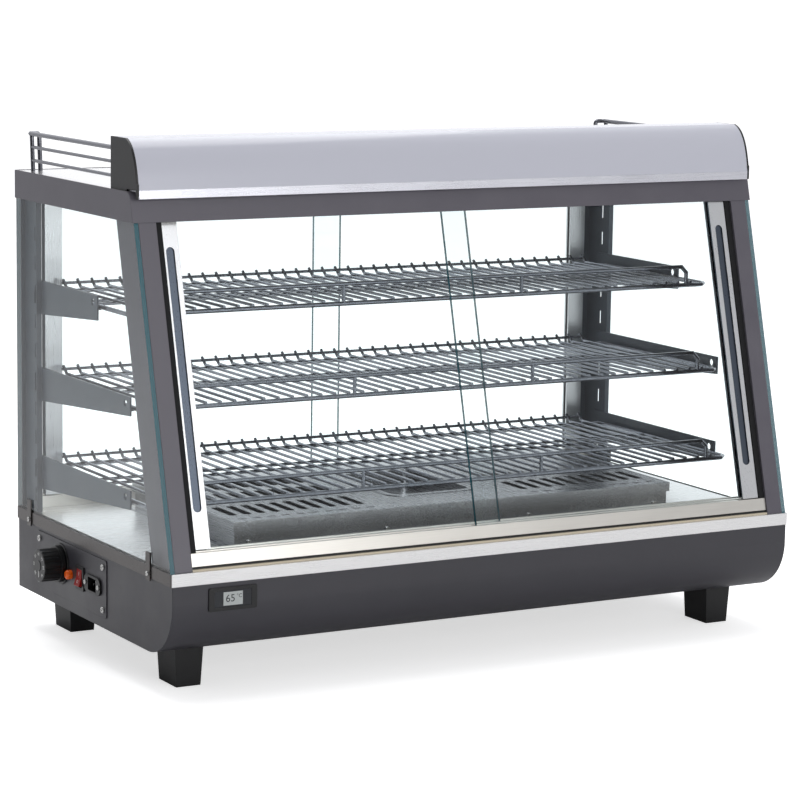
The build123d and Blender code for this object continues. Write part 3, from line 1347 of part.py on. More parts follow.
def build_controls():
    save("control_plate", make_control_plate())
    save("panel_screws", make_panel_screws())
    save("thermostat", make_thermostat())
    save("dial_ring", make_dial_ring())
    save("thermostat_knob", make_thermostat_knob())
    save("indicator_lamp", make_indicator_lamp())
    save("switch_housing", make_switch_housing())
    save("rocker", make_rocker())
    save("power_inlet", make_power_inlet())
    save("inlet_pins", make_inlet_pins())
    save("small_screws", make_small_screws())
    save("thermometer_case", make_thermometer())
    save("thermometer_display", make_thermometer_display())


def build_cabinet():
    for side, name in ((-1, "left"), (1, "right")):
        save(f"front_post_{name}", make_front_post(side))
    save("rear_posts", pair(make_rear_post))
    save("side_glass", pair(make_side_glass))
    save("post_seals", make_post_seals())
    save("glass_clips", make_glass_clips())
    for level in SHELF_LEVELS:
        save(f"brackets_{level}", pair(lambda side, level=level: make_bracket(level, side)))


def build_top():
    save("top_frame", make_top_frame())
    save("top_sheet", make_top_sheet())
    save("canopy_panel", make_canopy_panel())
    save("canopy_back", make_canopy_back())
    save("canopy_strip", make_canopy_strip())
    save("canopy_caps", pair(make_canopy_cap))
    save("lamp_tube", make_lamp_tube())
    save("lamp_holders", make_lamp_holders())
    save("gallery_rails", pair(make_rail))


def build_doors():
    save("front_track_bottom", make_front_track_bottom())
    save("front_track_top", make_front_track_top())
    save("front_sill", make_front_sill())
    save("front_gasket", make_front_gasket())
    save("rear_track_bottom", make_rear_track_bottom())
    save("rear_track_top", make_rear_track_top())
    for side, name, lane in ((-1, "left", 1), (1, "right", 0)):
        save(f"front_pane_{name}", make_front_pane(side, lane))
        save(f"front_stile_{name}", make_front_stile(side, lane))
        save(f"rear_pane_{name}", make_rear_pane(side, 1 - lane))
        save(f"rear_stile_{name}", make_rear_stile(side, 1 - lane))


def build_inside():
    for level in SHELF_LEVELS:
        save(f"shelf_{level}", make_shelf(level))
    save("heater_frame", make_heater_frame())
    save("heater_cover", make_heater_cover())
    save("water_tray", make_water_tray())
    save("heater_pan", make_heater_pan())
    save("heater_elements", make_heater_elements())


build_base()
build_controls()
build_cabinet()
build_top()
build_doors()
build_inside()
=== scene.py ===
# %% [markdown]
# # A heated food display case, dressed for its portrait
# The case is already built as solid parts: a folded steel base, sloping posts, glass,
# wire shelves and a canopy. This notebook gives each part its finish, adds the few
# printed marks that are too fine for the solids, and sets up a plain studio around them.

import math

import bmesh
import bpy
from mathutils import Matrix, Vector


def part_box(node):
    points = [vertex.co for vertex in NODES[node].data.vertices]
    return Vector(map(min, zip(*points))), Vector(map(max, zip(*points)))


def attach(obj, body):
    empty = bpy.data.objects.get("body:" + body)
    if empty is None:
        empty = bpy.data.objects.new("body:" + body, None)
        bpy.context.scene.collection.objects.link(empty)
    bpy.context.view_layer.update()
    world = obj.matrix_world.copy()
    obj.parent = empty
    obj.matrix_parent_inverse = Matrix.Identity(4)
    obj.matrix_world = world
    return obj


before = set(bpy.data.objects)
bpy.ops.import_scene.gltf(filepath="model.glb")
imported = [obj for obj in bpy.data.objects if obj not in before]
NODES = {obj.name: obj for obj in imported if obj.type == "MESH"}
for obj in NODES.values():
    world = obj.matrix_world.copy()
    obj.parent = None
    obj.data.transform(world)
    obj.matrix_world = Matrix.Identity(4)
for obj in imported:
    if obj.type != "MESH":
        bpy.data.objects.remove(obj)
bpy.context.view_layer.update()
MM = 0.001

# %% [markdown]
# ## The camera
# The case is seen from its left front corner, a little from above, with a long lens, so
# that its edges hardly converge. The three directions of the camera are worked out from
# a heading, a downward tilt and a slight roll, and written into its matrix.

# %% Camera
HEADING = math.radians(29.46)
TILT = math.radians(8.88)
ROLL = math.radians(0.82)
STAND = Vector((-1.9143, -3.3752, 0.9104))
LENS = 134.4


def make_camera():
    level_run = math.cos(TILT)
    ahead = Vector((math.sin(HEADING) * level_run, math.cos(HEADING) * level_run, -math.sin(TILT)))
    level = Vector((math.cos(HEADING), -math.sin(HEADING), 0.0))
    above = level.cross(ahead)
    right = level * math.cos(ROLL) + above * math.sin(ROLL)
    up = above * math.cos(ROLL) - level * math.sin(ROLL)
    lens = bpy.data.cameras.new("camera")
    lens.lens, lens.sensor_width = LENS, 36.0
    lens.clip_start, lens.clip_end = 0.05, 200.0
    camera = bpy.data.objects.new("camera", lens)
    turn = Matrix((right, up, -ahead)).transposed().to_4x4()
    camera.matrix_world = Matrix.Translation(STAND) @ turn
    bpy.context.collection.objects.link(camera)
    bpy.context.scene.camera = camera
    return camera


camera = make_camera()
print("camera at", [round(v, 3) for v in camera.location])

# %% [markdown]
# ## The studio
# A wide white floor, a world that is bright behind and on the right and dark on the left,
# and two large soft lamps. The dark side of the world is what gives the left end of the
# case its deeper tone. Colours are shown without a film curve, so a hex value given to a
# surface can be compared with what is seen.

# %% Colour values
def linear(hex_code):
    """An sRGB hex value as the linear colour that shaders use."""
    parts = [int(hex_code[i : i + 2], 16) / 255 for i in (1, 3, 5)]
    return tuple(c / 12.92 if c <= 0.04045 else ((c + 0.055) / 1.055) ** 2.4 for c in parts) + (1.0,)


def add(tree, kind, wires=None, **settings):
    """One node with its settings; wires gives each input a value or another node's output."""
    made = tree.nodes.new(kind)
    for name, value in settings.items():
        setattr(made, name, value)
    for key, value in (wires or {}).items():
        if isinstance(value, bpy.types.NodeSocket):
            tree.links.new(value, made.inputs[key])
        else:
            made.inputs[key].default_value = value
    return made


print("mid grey is", [round(v, 3) for v in linear("#808080")[:3]])

# %% World
LEFT_TONE = 0.05
RIGHT_TONE = 0.52
REAR_LIFT = 0.62


def make_world():
    world = bpy.data.worlds.new("studio")
    bpy.context.scene.world = world
    world.use_nodes = True
    tree = world.node_tree
    tree.nodes.clear()
    where = add(tree, "ShaderNodeTexCoord")
    parts = add(tree, "ShaderNodeSeparateXYZ", {0: where.outputs["Generated"]})
    across = add(
        tree,
        "ShaderNodeMapRange",
        {0: parts.outputs["X"], 1: -0.9, 2: 0.1, 3: LEFT_TONE, 4: RIGHT_TONE},
        interpolation_type="SMOOTHSTEP",
    )
    behind = add(
        tree,
        "ShaderNodeMapRange",
        {0: parts.outputs["Y"], 1: 0.0, 2: 0.5, 3: 0.0, 4: REAR_LIFT},
        interpolation_type="SMOOTHSTEP",
    )
    total = add(tree, "ShaderNodeMath", {0: across.outputs[0], 1: behind.outputs[0]}, operation="ADD")
    glow = add(tree, "ShaderNodeBackground", {"Color": linear("#fbfcff"), "Strength": total.outputs[0]})
    out = add(tree, "ShaderNodeOutputWorld", {"Surface": glow.outputs[0]})
    return out


make_world()
bpy.context.scene.view_settings.view_transform = "Standard"
bpy.context.scene.view_settings.look = "None"
print("world ready")

# %% [markdown]
# The floor is white paper. Seen directly it is lifted to a clean white by a little glow;
# the glow is left out of the light that reaches the case, so that the case's left end
# stays in its own shade.

# %% Floor
FLOOR_REACH = 60.0
FLOOR_GLOW = 0.62


def make_floor():
    bm = bmesh.new()
    bmesh.ops.create_grid(bm, x_segments=1, y_segments=1, size=FLOOR_REACH)
    mesh = bpy.data.meshes.new("floor")
    bm.to_mesh(mesh)
    bm.free()
    floor = bpy.data.objects.new("floor", mesh)
    bpy.context.collection.objects.link(floor)
    paper = bpy.data.materials.new("studio_paper")
    paper.use_nodes = True
    shader = paper.node_tree.nodes["Principled BSDF"]
    shader.inputs["Base Color"].default_value = linear("#f4f4f4")
    shader.inputs["Roughness"].default_value = 0.9
    shader.inputs["Specular IOR Level"].default_value = 0.1
    tree = paper.node_tree
    seen = add(tree, "ShaderNodeLightPath")
    glow = add(
        tree, "ShaderNodeMath", {0: seen.outputs["Is Camera Ray"], 1: FLOOR_GLOW}, operation="MULTIPLY"
    )
    shader.inputs["Emission Color"].default_value = linear("#ffffff")
    tree.links.new(glow.outputs[0], shader.inputs["Emission Strength"])
    mesh.materials.append(paper)
    return floor


make_floor()
print("floor reaches", FLOOR_REACH, "m each way")

# %% [markdown]
# The key lamp stands low and straight in front. Higher and to the right it would mirror
# itself in the sloping doors and veil the shelves; farther left it would light the end.

# %% Lamps
def make_lamp(name, place, aim, size, watts, tint="#ffffff"):
    """A square soft lamp at a place, pointed at another."""
    light = bpy.data.lights.new(name, "AREA")
    light.shape, light.size, light.energy = "SQUARE", size, watts
    light.color = linear(tint)[:3]
    lamp = bpy.data.objects.new(name, light)
    lamp.location = place
    lamp.rotation_euler = (Vector(aim) - Vector(place)).to_track_quat("-Z", "Y").to_euler()
    bpy.context.collection.objects.link(lamp)
    return lamp


MIDDLE = (0.0, 0.0, 0.33)
make_lamp("key", (0.5, -4.8, 1.3), MIDDLE, 2.2, 58)
make_lamp("over", (0.2, 0.9, 3.6), MIDDLE, 3.0, 62)

# %% [markdown]
# ## Finishes
# Each finish starts from what the real material is and how its surface was made. A new
# material has one Principled shader; patterns read Object coordinates, which here are
# real metres from the centre of the case, so a scale of 1000 means one pattern step a
# millimetre.

# %% A blank finish
def finish(name):
    """A material with its tree, its shader, its output node and its coordinates."""
    made = bpy.data.materials.new(name)
    made.use_nodes = True
    tree = made.node_tree
    tree.nodes.clear()
    shader = add(tree, "ShaderNodeBsdfPrincipled")
    out = add(tree, "ShaderNodeOutputMaterial", {"Surface": shader.outputs[0]})
    where = add(tree, "ShaderNodeTexCoord")
    return made, tree, shader, out, where.outputs["Object"]


def tint_by(tree, factor, dark, light):
    """A colour between two hex values."""
    ends = {"Factor": factor, 6: linear(dark), 7: linear(light)}
    return add(tree, "ShaderNodeMix", ends, data_type="RGBA").outputs[2]


# %% [markdown]
# ### Powder-coated steel
# The posts, the top frame and the base are folded sheet with a baked powder coat. Powder
# flows out to a faint orange peel, a few tenths of a millimetre high and two or three
# millimetres across, and handling leaves slightly shinier patches. The Bevel node rounds
# the folded edges for the light only, as a sheet bent on a press has a small radius.

# %% Powder coat
PEEL = 2.2 * MM


def powder_coat(name, dark, light, rough=(0.30, 0.44), fold=1.0 * MM):
    made, tree, shader, out, where = finish(name)
    cloud = add(
        tree, "ShaderNodeTexNoise", {"Vector": where, "Scale": 14.0, "Detail": 4.0, "Roughness": 0.6}
    )
    peel = add(tree, "ShaderNodeTexNoise", {"Vector": where, "Scale": 1 / PEEL, "Detail": 2.0})
    tone = tint_by(tree, cloud.outputs["Fac"], dark, light)
    gloss = add(
        tree, "ShaderNodeMapRange", {0: cloud.outputs["Fac"], 1: 0.3, 2: 0.7, 3: rough[0], 4: rough[1]}
    )
    edge = add(tree, "ShaderNodeBevel", {"Radius": fold}, samples=4)
    skin = add(
        tree,
        "ShaderNodeBump",
        {
            "Height": peel.outputs["Fac"],
            "Distance": 0.05 * MM,
            "Strength": 0.35,
            "Normal": edge.outputs[0],
        },
    )
    tree.links.new(tone, shader.inputs["Base Color"])
    tree.links.new(gloss.outputs[0], shader.inputs["Roughness"])
    tree.links.new(skin.outputs[0], shader.inputs["Normal"])
    shader.inputs["IOR"].default_value = 1.5
    return made


BASE_COAT = powder_coat("powder_coat_base", "#35343a", "#3d3c42")
FRAME_COAT = powder_coat("powder_coat_frame", "#59565f", "#646169")
POST_COAT = powder_coat("powder_coat_rear_posts", "#4a525c", "#545c66")
print("powder coats made")

# %% [markdown]
# ### Brushed stainless steel
# The deck, the sill, the heater cover and the top sheet are stainless with a belt finish:
# hair lines about a quarter of a millimetre apart run along the sheet. Lines that fine
# vanish at this distance, so they are drawn three times as coarse. The noise is squeezed
# across the lines and stretched along them by a Mapping node. The deck's two end flanges
# have a painted dark reflection in their colour, so they are much darker than its front
# lip: position tells them apart, by how far out along X a point lies.

# %% Brushed stainless
HAIR = 0.8 * MM
HAIR_RUN = 60 * MM


def brushed_steel(name, dark, light, along="X", rough=(0.22, 0.34), fold=0.8 * MM):
    made, tree, shader, out, where = finish(name)
    fine, run = 1 / HAIR, 1 / HAIR_RUN
    scale = {"X": (run, fine, fine), "Y": (fine, run, fine), "Z": (fine, fine, run)}[along]
    lines = add(tree, "ShaderNodeMapping", {"Vector": where, "Scale": scale})
    hair = add(
        tree,
        "ShaderNodeTexNoise",
        {"Vector": lines.outputs[0], "Scale": 1.0, "Detail": 3.0, "Roughness": 0.65},
    )
    cloud = add(tree, "ShaderNodeTexNoise", {"Vector": where, "Scale": 9.0, "Detail": 3.0})
    both = add(
        tree,
        "ShaderNodeMix",
        {"Factor": 0.35, 2: hair.outputs["Fac"], 3: cloud.outputs["Fac"]},
        data_type="FLOAT",
    )
    tone = tint_by(tree, both.outputs[0], dark, light)
    gloss = add(
        tree, "ShaderNodeMapRange", {0: both.outputs[0], 1: 0.3, 2: 0.7, 3: rough[0], 4: rough[1]}
    )
    edge = add(tree, "ShaderNodeBevel", {"Radius": fold}, samples=4)
    skin = add(
        tree,
        "ShaderNodeBump",
        {
            "Height": hair.outputs["Fac"],
            "Distance": 0.02 * MM,
            "Strength": 0.5,
            "Normal": edge.outputs[0],
        },
    )
    tree.links.new(tone, shader.inputs["Base Color"])
    tree.links.new(gloss.outputs[0], shader.inputs["Roughness"])
    tree.links.new(skin.outputs[0], shader.inputs["Normal"])
    shader.inputs["Metallic"].default_value = 1.0
    return made


def paint_dark_reflection_on_ends(made, reach, hex_code):
    """Paints a dark reflection into what lies farther out along X than reach, on both ends."""
    tree = made.node_tree
    shader = tree.nodes["Principled BSDF"]
    tone = shader.inputs["Base Color"].links[0].from_socket
    where = tree.nodes["Texture Coordinate"].outputs["Object"]
    parts = add(tree, "ShaderNodeSeparateXYZ", {0: where})
    out = add(tree, "ShaderNodeMath", {0: parts.outputs["X"]}, operation="ABSOLUTE")
    is_end = add(tree, "ShaderNodeMath", {0: out.outputs[0], 1: reach}, operation="GREATER_THAN")
    mixed = add(
        tree,
        "ShaderNodeMix",
        {"Factor": is_end.outputs[0], 6: tone, 7: linear(hex_code)},
        data_type="RGBA",
    )
    tree.links.new(mixed.outputs[2], shader.inputs["Base Color"])
    return made


DECK_STEEL = brushed_steel("brushed_steel_deck", "#dcdbdb", "#f4f3f3")
# Painted dark reflection: the deck's end flanges, past reach along X, are coloured #575453.
paint_dark_reflection_on_ends(DECK_STEEL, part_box("deck")[1].x - 0.9 * MM, "#575453")
COVER_STEEL = brushed_steel("brushed_steel_heater", "#9b9ca0", "#c8c9cc", along="Y", rough=(0.2, 0.32))
STRIP_STEEL = brushed_steel("brushed_steel_strip", "#d4d4dc", "#ebebf2")
def paint_shade_in_groove(node, name):
    """Stile metal whose finger groove, deeper than its front face, gets a painted blue-grey shade."""
    made = STILE_METAL.copy()
    made.name = name
    faces = [f for f in NODES[node].data.polygons if f.normal.y < -0.8 and abs(f.normal.x) < 0.05]
    ahead = max(faces, key=lambda f: f.area).normal.copy()
    front = max(v.co.dot(ahead) for v in NODES[node].data.vertices)
    tree = made.node_tree
    shader = tree.nodes["Principled BSDF"]
    tone = shader.inputs["Base Color"].links[0].from_socket
    where = tree.nodes["Texture Coordinate"].outputs["Object"]
    depth = add(tree, "ShaderNodeVectorMath", {0: where, 1: ahead}, operation="DOT_PRODUCT")
    is_deep = add(
        tree,
        "ShaderNodeMath",
        {0: depth.outputs["Value"], 1: front - GROOVE_STEP},
        operation="LESS_THAN",
    )
    # Painted shade: the recessed groove floor is coloured #59606b.
    mixed = add(
        tree,
        "ShaderNodeMix",
        {"Factor": is_deep.outputs[0], 6: tone, 7: linear("#59606b")},
        data_type="RGBA",
    )
    tree.links.new(mixed.outputs[2], shader.inputs["Base Color"])
    return made


GROOVE_STEP = 0.6 * MM
ALUMINIUM = brushed_steel(
    "anodised_aluminium", "#d6d2ca", "#eae7e1", along="X", rough=(0.28, 0.36), fold=0.5 * MM
)
STILE_METAL = brushed_steel(
    "anodised_aluminium_stile", "#d2d3d6", "#eaebec", along="Z", rough=(0.25, 0.34), fold=0.5 * MM
)
STILE_LEFT = paint_shade_in_groove("front_stile_left", "anodised_stile_front_left")
STILE_RIGHT = paint_shade_in_groove("front_stile_right", "anodised_stile_front_right")
print("steels made")

# %% [markdown]
# ### Chrome wire
# The shelves and the gallery rails are steel wire, spot welded and then chrome plated.
# Plating is nearly a mirror; a soft waviness in it breaks up the reflections.

# %% Chrome wire
def chrome_wire(name, hex_code, rough):
    made, tree, shader, out, where = finish(name)
    wave = add(tree, "ShaderNodeTexNoise", {"Vector": where, "Scale": 160.0, "Detail": 2.0})
    gloss = add(
        tree,
        "ShaderNodeMapRange",
        {0: wave.outputs["Fac"], 1: 0.3, 2: 0.7, 3: rough * 0.7, 4: rough * 1.3},
    )
    skin = add(
        tree, "ShaderNodeBump", {"Height": wave.outputs["Fac"], "Distance": 0.15 * MM, "Strength": 0.3}
    )
    tree.links.new(gloss.outputs[0], shader.inputs["Roughness"])
    tree.links.new(skin.outputs[0], shader.inputs["Normal"])
    shader.inputs["Base Color"].default_value = linear(hex_code)
    shader.inputs["Metallic"].default_value = 1.0
    return made


SHELF_CHROME = chrome_wire("chrome_shelf_wire", "#868991", 0.2)
RAIL_CHROME = chrome_wire("chrome_rail_wire", "#77787e", 0.16)
SCREW_STEEL = chrome_wire("zinc_plated_screw", "#c8c8c6", 0.25)
print("chromes made")

# %% [markdown]
# ### Moulded plastic and rubber
# Knob, switch, inlet and end caps are moulded ABS with a fine spark-eroded grain; feet,
# seals and gasket are black rubber, duller and softer.

# %% Moulded plastic
def moulded(name, hex_code, rough, grain=0.5 * MM, depth=0.03 * MM):
    made, tree, shader, out, where = finish(name)
    pits = add(tree, "ShaderNodeTexNoise", {"Vector": where, "Scale": 1 / grain, "Detail": 2.0})
    gloss = add(
        tree,
        "ShaderNodeMapRange",
        {0: pits.outputs["Fac"], 1: 0.3, 2: 0.7, 3: rough * 0.9, 4: rough * 1.1},
    )
    edge = add(tree, "ShaderNodeBevel", {"Radius": 0.5 * MM}, samples=4)
    skin = add(
        tree,
        "ShaderNodeBump",
        {"Height": pits.outputs["Fac"], "Distance": depth, "Strength": 0.5, "Normal": edge.outputs[0]},
    )
    tree.links.new(gloss.outputs[0], shader.inputs["Roughness"])
    tree.links.new(skin.outputs[0], shader.inputs["Normal"])
    shader.inputs["Base Color"].default_value = linear(hex_code)
    return made


BLACK_ABS = moulded("abs_black", "#0e0e10", 0.36)
CAP_ABS = moulded("abs_end_cap", "#0d0c0f", 0.42)
FOOT_RUBBER = moulded("rubber_foot", "#0e0e10", 0.5)
SEAL_PILE = moulded("brush_pile", "#101013", 0.85, grain=0.4 * MM, depth=0.3 * MM)
SILL_STRIP = moulded("pvc_sill", "#d9cdb6", 0.5)
RED_ABS = moulded("abs_red", "#9a1712", 0.3)
AMBER = moulded("polycarbonate_amber", "#ff6a1c", 0.2)
TUBE_GLASS = moulded("frosted_tube", "#f4f4f0", 0.35)
DISPLAY = moulded("smoked_acrylic_window", "#1b1e24", 0.12)
print("plastics made")

# %% [markdown]
# ### Glass
# The panes are float glass. A pane this thin hardly bends what is seen through it, so
# light passes straight and only the surface gloss is added, more at a glancing angle. A
# cut edge is different: light that has travelled inside the pane comes out there, tinted
# by iron in the glass. The surface normal in the pane's own frame tells edge from face.

# %% Float glass
def float_glass(name, face_axis, see="#fcfefe", edge_tone="#1d5a66"):
    """face_axis names the direction that the wide faces look in."""
    made, tree, shader, out, where = finish(name)
    tree.nodes.remove(shader)
    facing = add(tree, "ShaderNodeTexCoord")
    parts = add(tree, "ShaderNodeSeparateXYZ", {0: facing.outputs["Normal"]})
    if face_axis == "X":
        size = add(tree, "ShaderNodeMath", {0: parts.outputs["X"]}, operation="ABSOLUTE")
    else:
        size = add(tree, "ShaderNodeMath", {0: parts.outputs["Y"]}, operation="ABSOLUTE")
    is_face = add(tree, "ShaderNodeMath", {0: size.outputs[0], 1: 0.6}, operation="GREATER_THAN")
    clear = add(tree, "ShaderNodeBsdfTransparent", {"Color": linear(see)})
    shine = add(tree, "ShaderNodeBsdfGlossy", {"Color": (1, 1, 1, 1), "Roughness": 0.02})
    bounce = add(tree, "ShaderNodeFresnel", {"IOR": 1.45})
    side = add(tree, "ShaderNodeNewGeometry")
    outside = add(tree, "ShaderNodeMath", {0: 1.0, 1: side.outputs["Backfacing"]}, operation="SUBTRACT")
    gloss = add(
        tree, "ShaderNodeMath", {0: bounce.outputs[0], 1: outside.outputs[0]}, operation="MULTIPLY"
    )
    pane = add(
        tree, "ShaderNodeMixShader", {0: gloss.outputs[0], 1: clear.outputs[0], 2: shine.outputs[0]}
    )
    cut = add(
        tree,
        "ShaderNodeBsdfPrincipled",
        {"Base Color": linear(edge_tone), "Roughness": 0.25, "Alpha": 0.92},
    )
    both = add(
        tree, "ShaderNodeMixShader", {0: is_face.outputs[0], 1: cut.outputs[0], 2: pane.outputs[0]}
    )
    tree.links.new(both.outputs[0], out.inputs["Surface"])
    return made


END_GLASS = float_glass("float_glass_end", "X")
DOOR_GLASS = float_glass("float_glass_door", "Y")
print("glass made")

# %% [markdown]
# ### Milky acrylic
# The canopy is a bent acrylic sheet with a white pigment, lit softly from the tube
# behind it. It scatters light just under its glossy skin.

# %% Milky acrylic
def milky_acrylic(name, hex_code):
    made, tree, shader, out, where = finish(name)
    shader.inputs["Base Color"].default_value = linear(hex_code)
    shader.inputs["Roughness"].default_value = 0.22
    shader.inputs["Coat Weight"].default_value = 0.3
    wave = add(tree, "ShaderNodeTexNoise", {"Vector": where, "Scale": 6.0, "Detail": 2.0})
    skin = add(
        tree, "ShaderNodeBump", {"Height": wave.outputs["Fac"], "Distance": 0.3 * MM, "Strength": 0.2}
    )
    tree.links.new(skin.outputs[0], shader.inputs["Normal"])
    return made


ACRYLIC = milky_acrylic("acrylic_milky", "#c8c9d4")
print("acrylic made")

# %% [markdown]
# ## Dressing the parts
# Every part keeps its solid and takes its finish by name.

# %% Finish by part
FINISHES = {
    BASE_COAT: ["base_wrap", "base_side_left", "base_side_right", "base_rear", "control_plate"],
    FRAME_COAT: ["front_post_left", "front_post_right", "top_frame"],
    POST_COAT: ["rear_posts", "brackets_top", "brackets_middle", "brackets_bottom"],
    DECK_STEEL: ["deck", "top_sheet", "canopy_back", "glass_clips"],
    STRIP_STEEL: ["canopy_strip"],
    COVER_STEEL: ["heater_cover", "heater_frame", "water_tray", "heater_pan"],
    SHELF_CHROME: ["shelf_top", "shelf_middle", "shelf_bottom"],
    RAIL_CHROME: ["gallery_rails"],
    ALUMINIUM: ["front_track_bottom", "front_track_top", "rear_track_bottom", "rear_track_top"],
    STILE_METAL: ["rear_stile_left", "rear_stile_right"],
    STILE_LEFT: ["front_stile_left"],
    STILE_RIGHT: ["front_stile_right"],
    END_GLASS: ["side_glass"],
    DOOR_GLASS: ["front_pane_left", "front_pane_right", "rear_pane_left", "rear_pane_right"],
    ACRYLIC: ["canopy_panel"],
    TUBE_GLASS: ["lamp_tube"],
    CAP_ABS: ["canopy_caps"],
    BLACK_ABS: [
        "dial_ring",
        "thermostat_knob",
        "switch_housing",
        "power_inlet",
        "thermometer_case",
        "lamp_holders",
    ],
    FOOT_RUBBER: ["feet", "front_gasket"],
    SEAL_PILE: ["post_seals"],
    SCREW_STEEL: [
        "foot_bolts", "panel_screws", "small_screws", "thermostat", "inlet_pins", "heater_elements"
    ],
    SILL_STRIP: ["front_sill"],
    DISPLAY: ["thermometer_display"],
    AMBER: ["indicator_lamp"],
    RED_ABS: ["rocker"],
}


def dress(node_name, material):
    for place in NODES[node_name].material_slots:
        place.material = material


dressed = set()
for material, names in FINISHES.items():
    for name in names:
        dress(name, material)
        dressed.add(name)
print("dressed", len(dressed), "of", len(NODES), "missing", sorted(set(NODES) - dressed))

# %% [markdown]
# ## Marks on the controls
# The knob has numerals printed round its face and a pointer line. Printed ink is about a
# tenth of a millimetre thick, so each mark is a very thin plate just proud of the face.
# Flat text is made a mesh first, then laid on the face and given to the knob's body, so
# that it turns with the knob.

# %% Ink and small helpers
INK = moulded("printed_ink_white", "#e4e4e2", 0.5, grain=0.3 * MM, depth=0.01 * MM)
LCD = moulded("liquid_crystal_panel", "#b4b9b8", 0.25, grain=0.3 * MM, depth=0.01 * MM)
DARK_INK = moulded("printed_ink_dark", "#1c2022", 0.5, grain=0.3 * MM, depth=0.01 * MM)
INK_THICK = 0.12 * MM


def piece(name, bm, material, body):
    """A finished object from a bmesh, riding on a body."""
    bmesh.ops.recalc_face_normals(bm, faces=bm.faces)
    mesh = bpy.data.meshes.new(name)
    bm.to_mesh(mesh)
    bm.free()
    made = bpy.data.objects.new(name, mesh)
    bpy.context.collection.objects.link(made)
    mesh.materials.append(material)
    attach(made, body)
    return made


def text_into(bm, words, height, move):
    """Adds the outline of some words, as thin plates, at a place given by a matrix."""
    curve = bpy.data.curves.new("words", "FONT")
    curve.body, curve.size = words, height
    curve.align_x, curve.align_y = "CENTER", "CENTER"
    curve.extrude = INK_THICK / 2
    writer = bpy.data.objects.new("words", curve)
    bpy.context.collection.objects.link(writer)
    bpy.context.view_layer.update()
    flat = bpy.data.meshes.new_from_object(writer)
    flat.transform(move)
    bm.from_mesh(flat)
    bpy.data.objects.remove(writer)
    bpy.data.meshes.remove(flat)


def bar_into(bm, size, move):
    """Adds a box of a size, at a place given by a matrix."""
    made = bmesh.ops.create_cube(bm, size=1.0)
    bmesh.ops.transform(bm, matrix=move @ Matrix.Diagonal((*size, 1.0)), verts=made["verts"])


def end_face(x, y, z):
    """The plane of a face that looks along -X: text reads upright on it."""
    across, up, outward = (0, -1, 0), (0, 0, 1), (-1, 0, 0)
    turn = Matrix((across, up, outward)).transposed().to_4x4()
    return Matrix.Translation((x, y, z)) @ turn


print("ink is", INK_THICK / MM, "mm thick")

# %% Knob numerals
knob_low, knob_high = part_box("thermostat_knob")
KNOB_MIDDLE = (knob_low + knob_high) / 2
NUMERAL_RING = 15.0 * MM
NUMERAL_HEIGHT = 5.2 * MM
NUMERALS = ("30", "40", "50", "60", "70", "80", "90")
SWEEP = math.radians(270)
POINTER = (1.6 * MM, 12.0 * MM)
POINTER_DROP = 9.0 * MM
HUB_RADII = (7.5 * MM, 6.8 * MM)
HUB_RISE = 0.8 * MM
HUB_EDGE = 0.3 * MM


def mark_knob():
    face = end_face(knob_low.x - INK_THICK / 2, KNOB_MIDDLE.y, KNOB_MIDDLE.z)
    bm = bmesh.new()
    for index, words in enumerate(NUMERALS):
        turn = SWEEP * index / (len(NUMERALS) - 1) - SWEEP / 2
        spot = face @ Matrix.Rotation(-turn, 4, "Z") @ Matrix.Translation((0, NUMERAL_RING, 0))
        text_into(bm, words, NUMERAL_HEIGHT, spot)
    bar_into(bm, (*POINTER, INK_THICK), face @ Matrix.Translation((0, -POINTER_DROP, 0)))
    return piece("knob_marks", bm, INK, "knob")


def make_knob_hub():
    """A low domed disc in the middle of the knob's face."""
    bm = bmesh.new()
    wide, narrow = HUB_RADII
    bmesh.ops.create_cone(bm, cap_ends=True, segments=64, radius1=wide, radius2=narrow, depth=HUB_RISE)
    rim = [e for e in bm.edges if len({round(v.co.z, 6) for v in e.verts}) == 1 and e.verts[0].co.z > 0]
    bmesh.ops.bevel(bm, geom=rim, offset=HUB_EDGE, segments=2, profile=0.5, affect="EDGES", material=-1)
    face = end_face(knob_low.x - HUB_EDGE, KNOB_MIDDLE.y, KNOB_MIDDLE.z)
    bmesh.ops.transform(bm, matrix=face, verts=bm.verts)
    return piece("knob_hub", bm, BLACK_ABS, "knob")


knob_marks = mark_knob()
knob_hub = make_knob_hub()
print(
    "knob marks:", len(knob_marks.data.polygons), "faces at radius", round(NUMERAL_RING / MM, 1), "mm"
)

# %% [markdown]
# The rocker carries the two usual marks, a line for on and a ring for off. They lie on
# the two slopes of the rocker and tip with it. The display shows a plain temperature in
# dark segments on a grey-green window.

# %% Rocker marks and display
ON_BAR = (0.9 * MM, 4.6 * MM)
OFF_RING = 5.6 * MM
PANEL_SHARE = (0.52, 0.82)
READING_SHARE = 0.78
UNIT_SHARE = 0.40


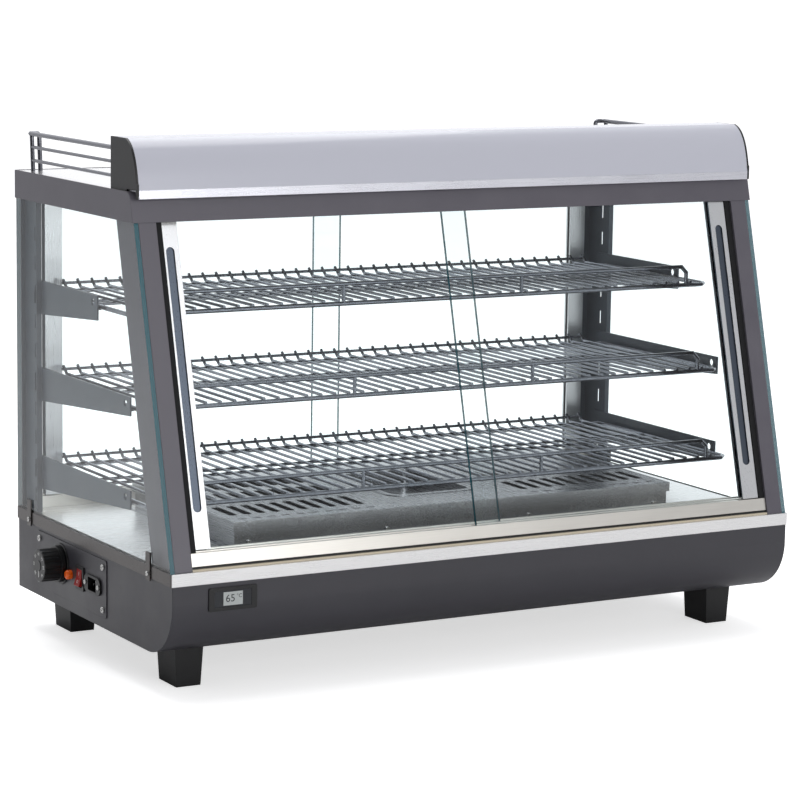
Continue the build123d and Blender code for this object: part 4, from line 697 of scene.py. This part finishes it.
def widest_slopes(node, looks):
    """Area, middle and normal of a node's flat faces that look roughly one way, widest first."""
    best = {}
    for face in NODES[node].data.polygons:
        if face.normal.dot(looks) > 0.9:
            key = tuple(round(v, 2) for v in face.normal)
            area, place = best.get(key, (0.0, Vector()))
            best[key] = (area + face.area, place + face.center * face.area)
    rows = [(area, place / area, Vector(key).normalized()) for key, (area, place) in best.items()]
    return sorted(rows, key=lambda row: -row[0])


def on_slope(place, normal):
    """A plane at a place, looking along a normal that points mostly to -X."""
    across = Vector((0, -1, 0))
    up = normal.cross(across).normalized()
    frame_axes = Matrix((across, up, normal)).transposed().to_4x4()
    return Matrix.Translation(place + normal * INK_THICK * 0.6) @ frame_axes


def mark_rocker():
    slopes = widest_slopes("rocker", Vector((-1, 0, 0)))[:2]
    slopes.sort(key=lambda row: row[1].z)
    bm = bmesh.new()
    low, high = slopes[0], slopes[-1]
    bar_into(bm, (*ON_BAR, INK_THICK), on_slope(high[1], high[2]))
    if len(slopes) == 2:
        text_into(bm, "O", OFF_RING, on_slope(low[1], low[2]))
    return piece("rocker_marks", bm, INK, "rocker_switch")


def mark_display():
    """A pale liquid crystal panel behind the smoked window, and its dark digits."""
    low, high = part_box("thermometer_display")
    middle = (low + high) / 2
    wide, tall = (high.x - low.x) * PANEL_SHARE[0], (high.z - low.z) * PANEL_SHARE[1]
    flat = Matrix.Translation((middle.x, low.y - INK_THICK, middle.z)) @ Matrix.Rotation(
        math.pi / 2, 4, "X"
    )
    bm = bmesh.new()
    bar_into(bm, (wide, tall, INK_THICK), flat)
    bmesh.ops.bevel(
        bm,
        geom=list(bm.edges),
        offset=INK_THICK * 0.3,
        segments=1,
        profile=0.5,
        affect="EDGES",
        material=-1,
    )
    piece("display_panel", bm, LCD, "case")
    bm = bmesh.new()
    front = flat @ Matrix.Translation((0, 0, INK_THICK))
    text_into(bm, "65", tall * READING_SHARE, front @ Matrix.Translation((-wide * 0.14, 0, 0)))
    text_into(
        bm, "\u00b0C", tall * UNIT_SHARE, front @ Matrix.Translation((wide * 0.32, tall * 0.14, 0))
    )
    return piece("display_digits", bm, DARK_INK, "case")


rocker_marks = mark_rocker()
display_digits = mark_display()
print("rocker and display marked")
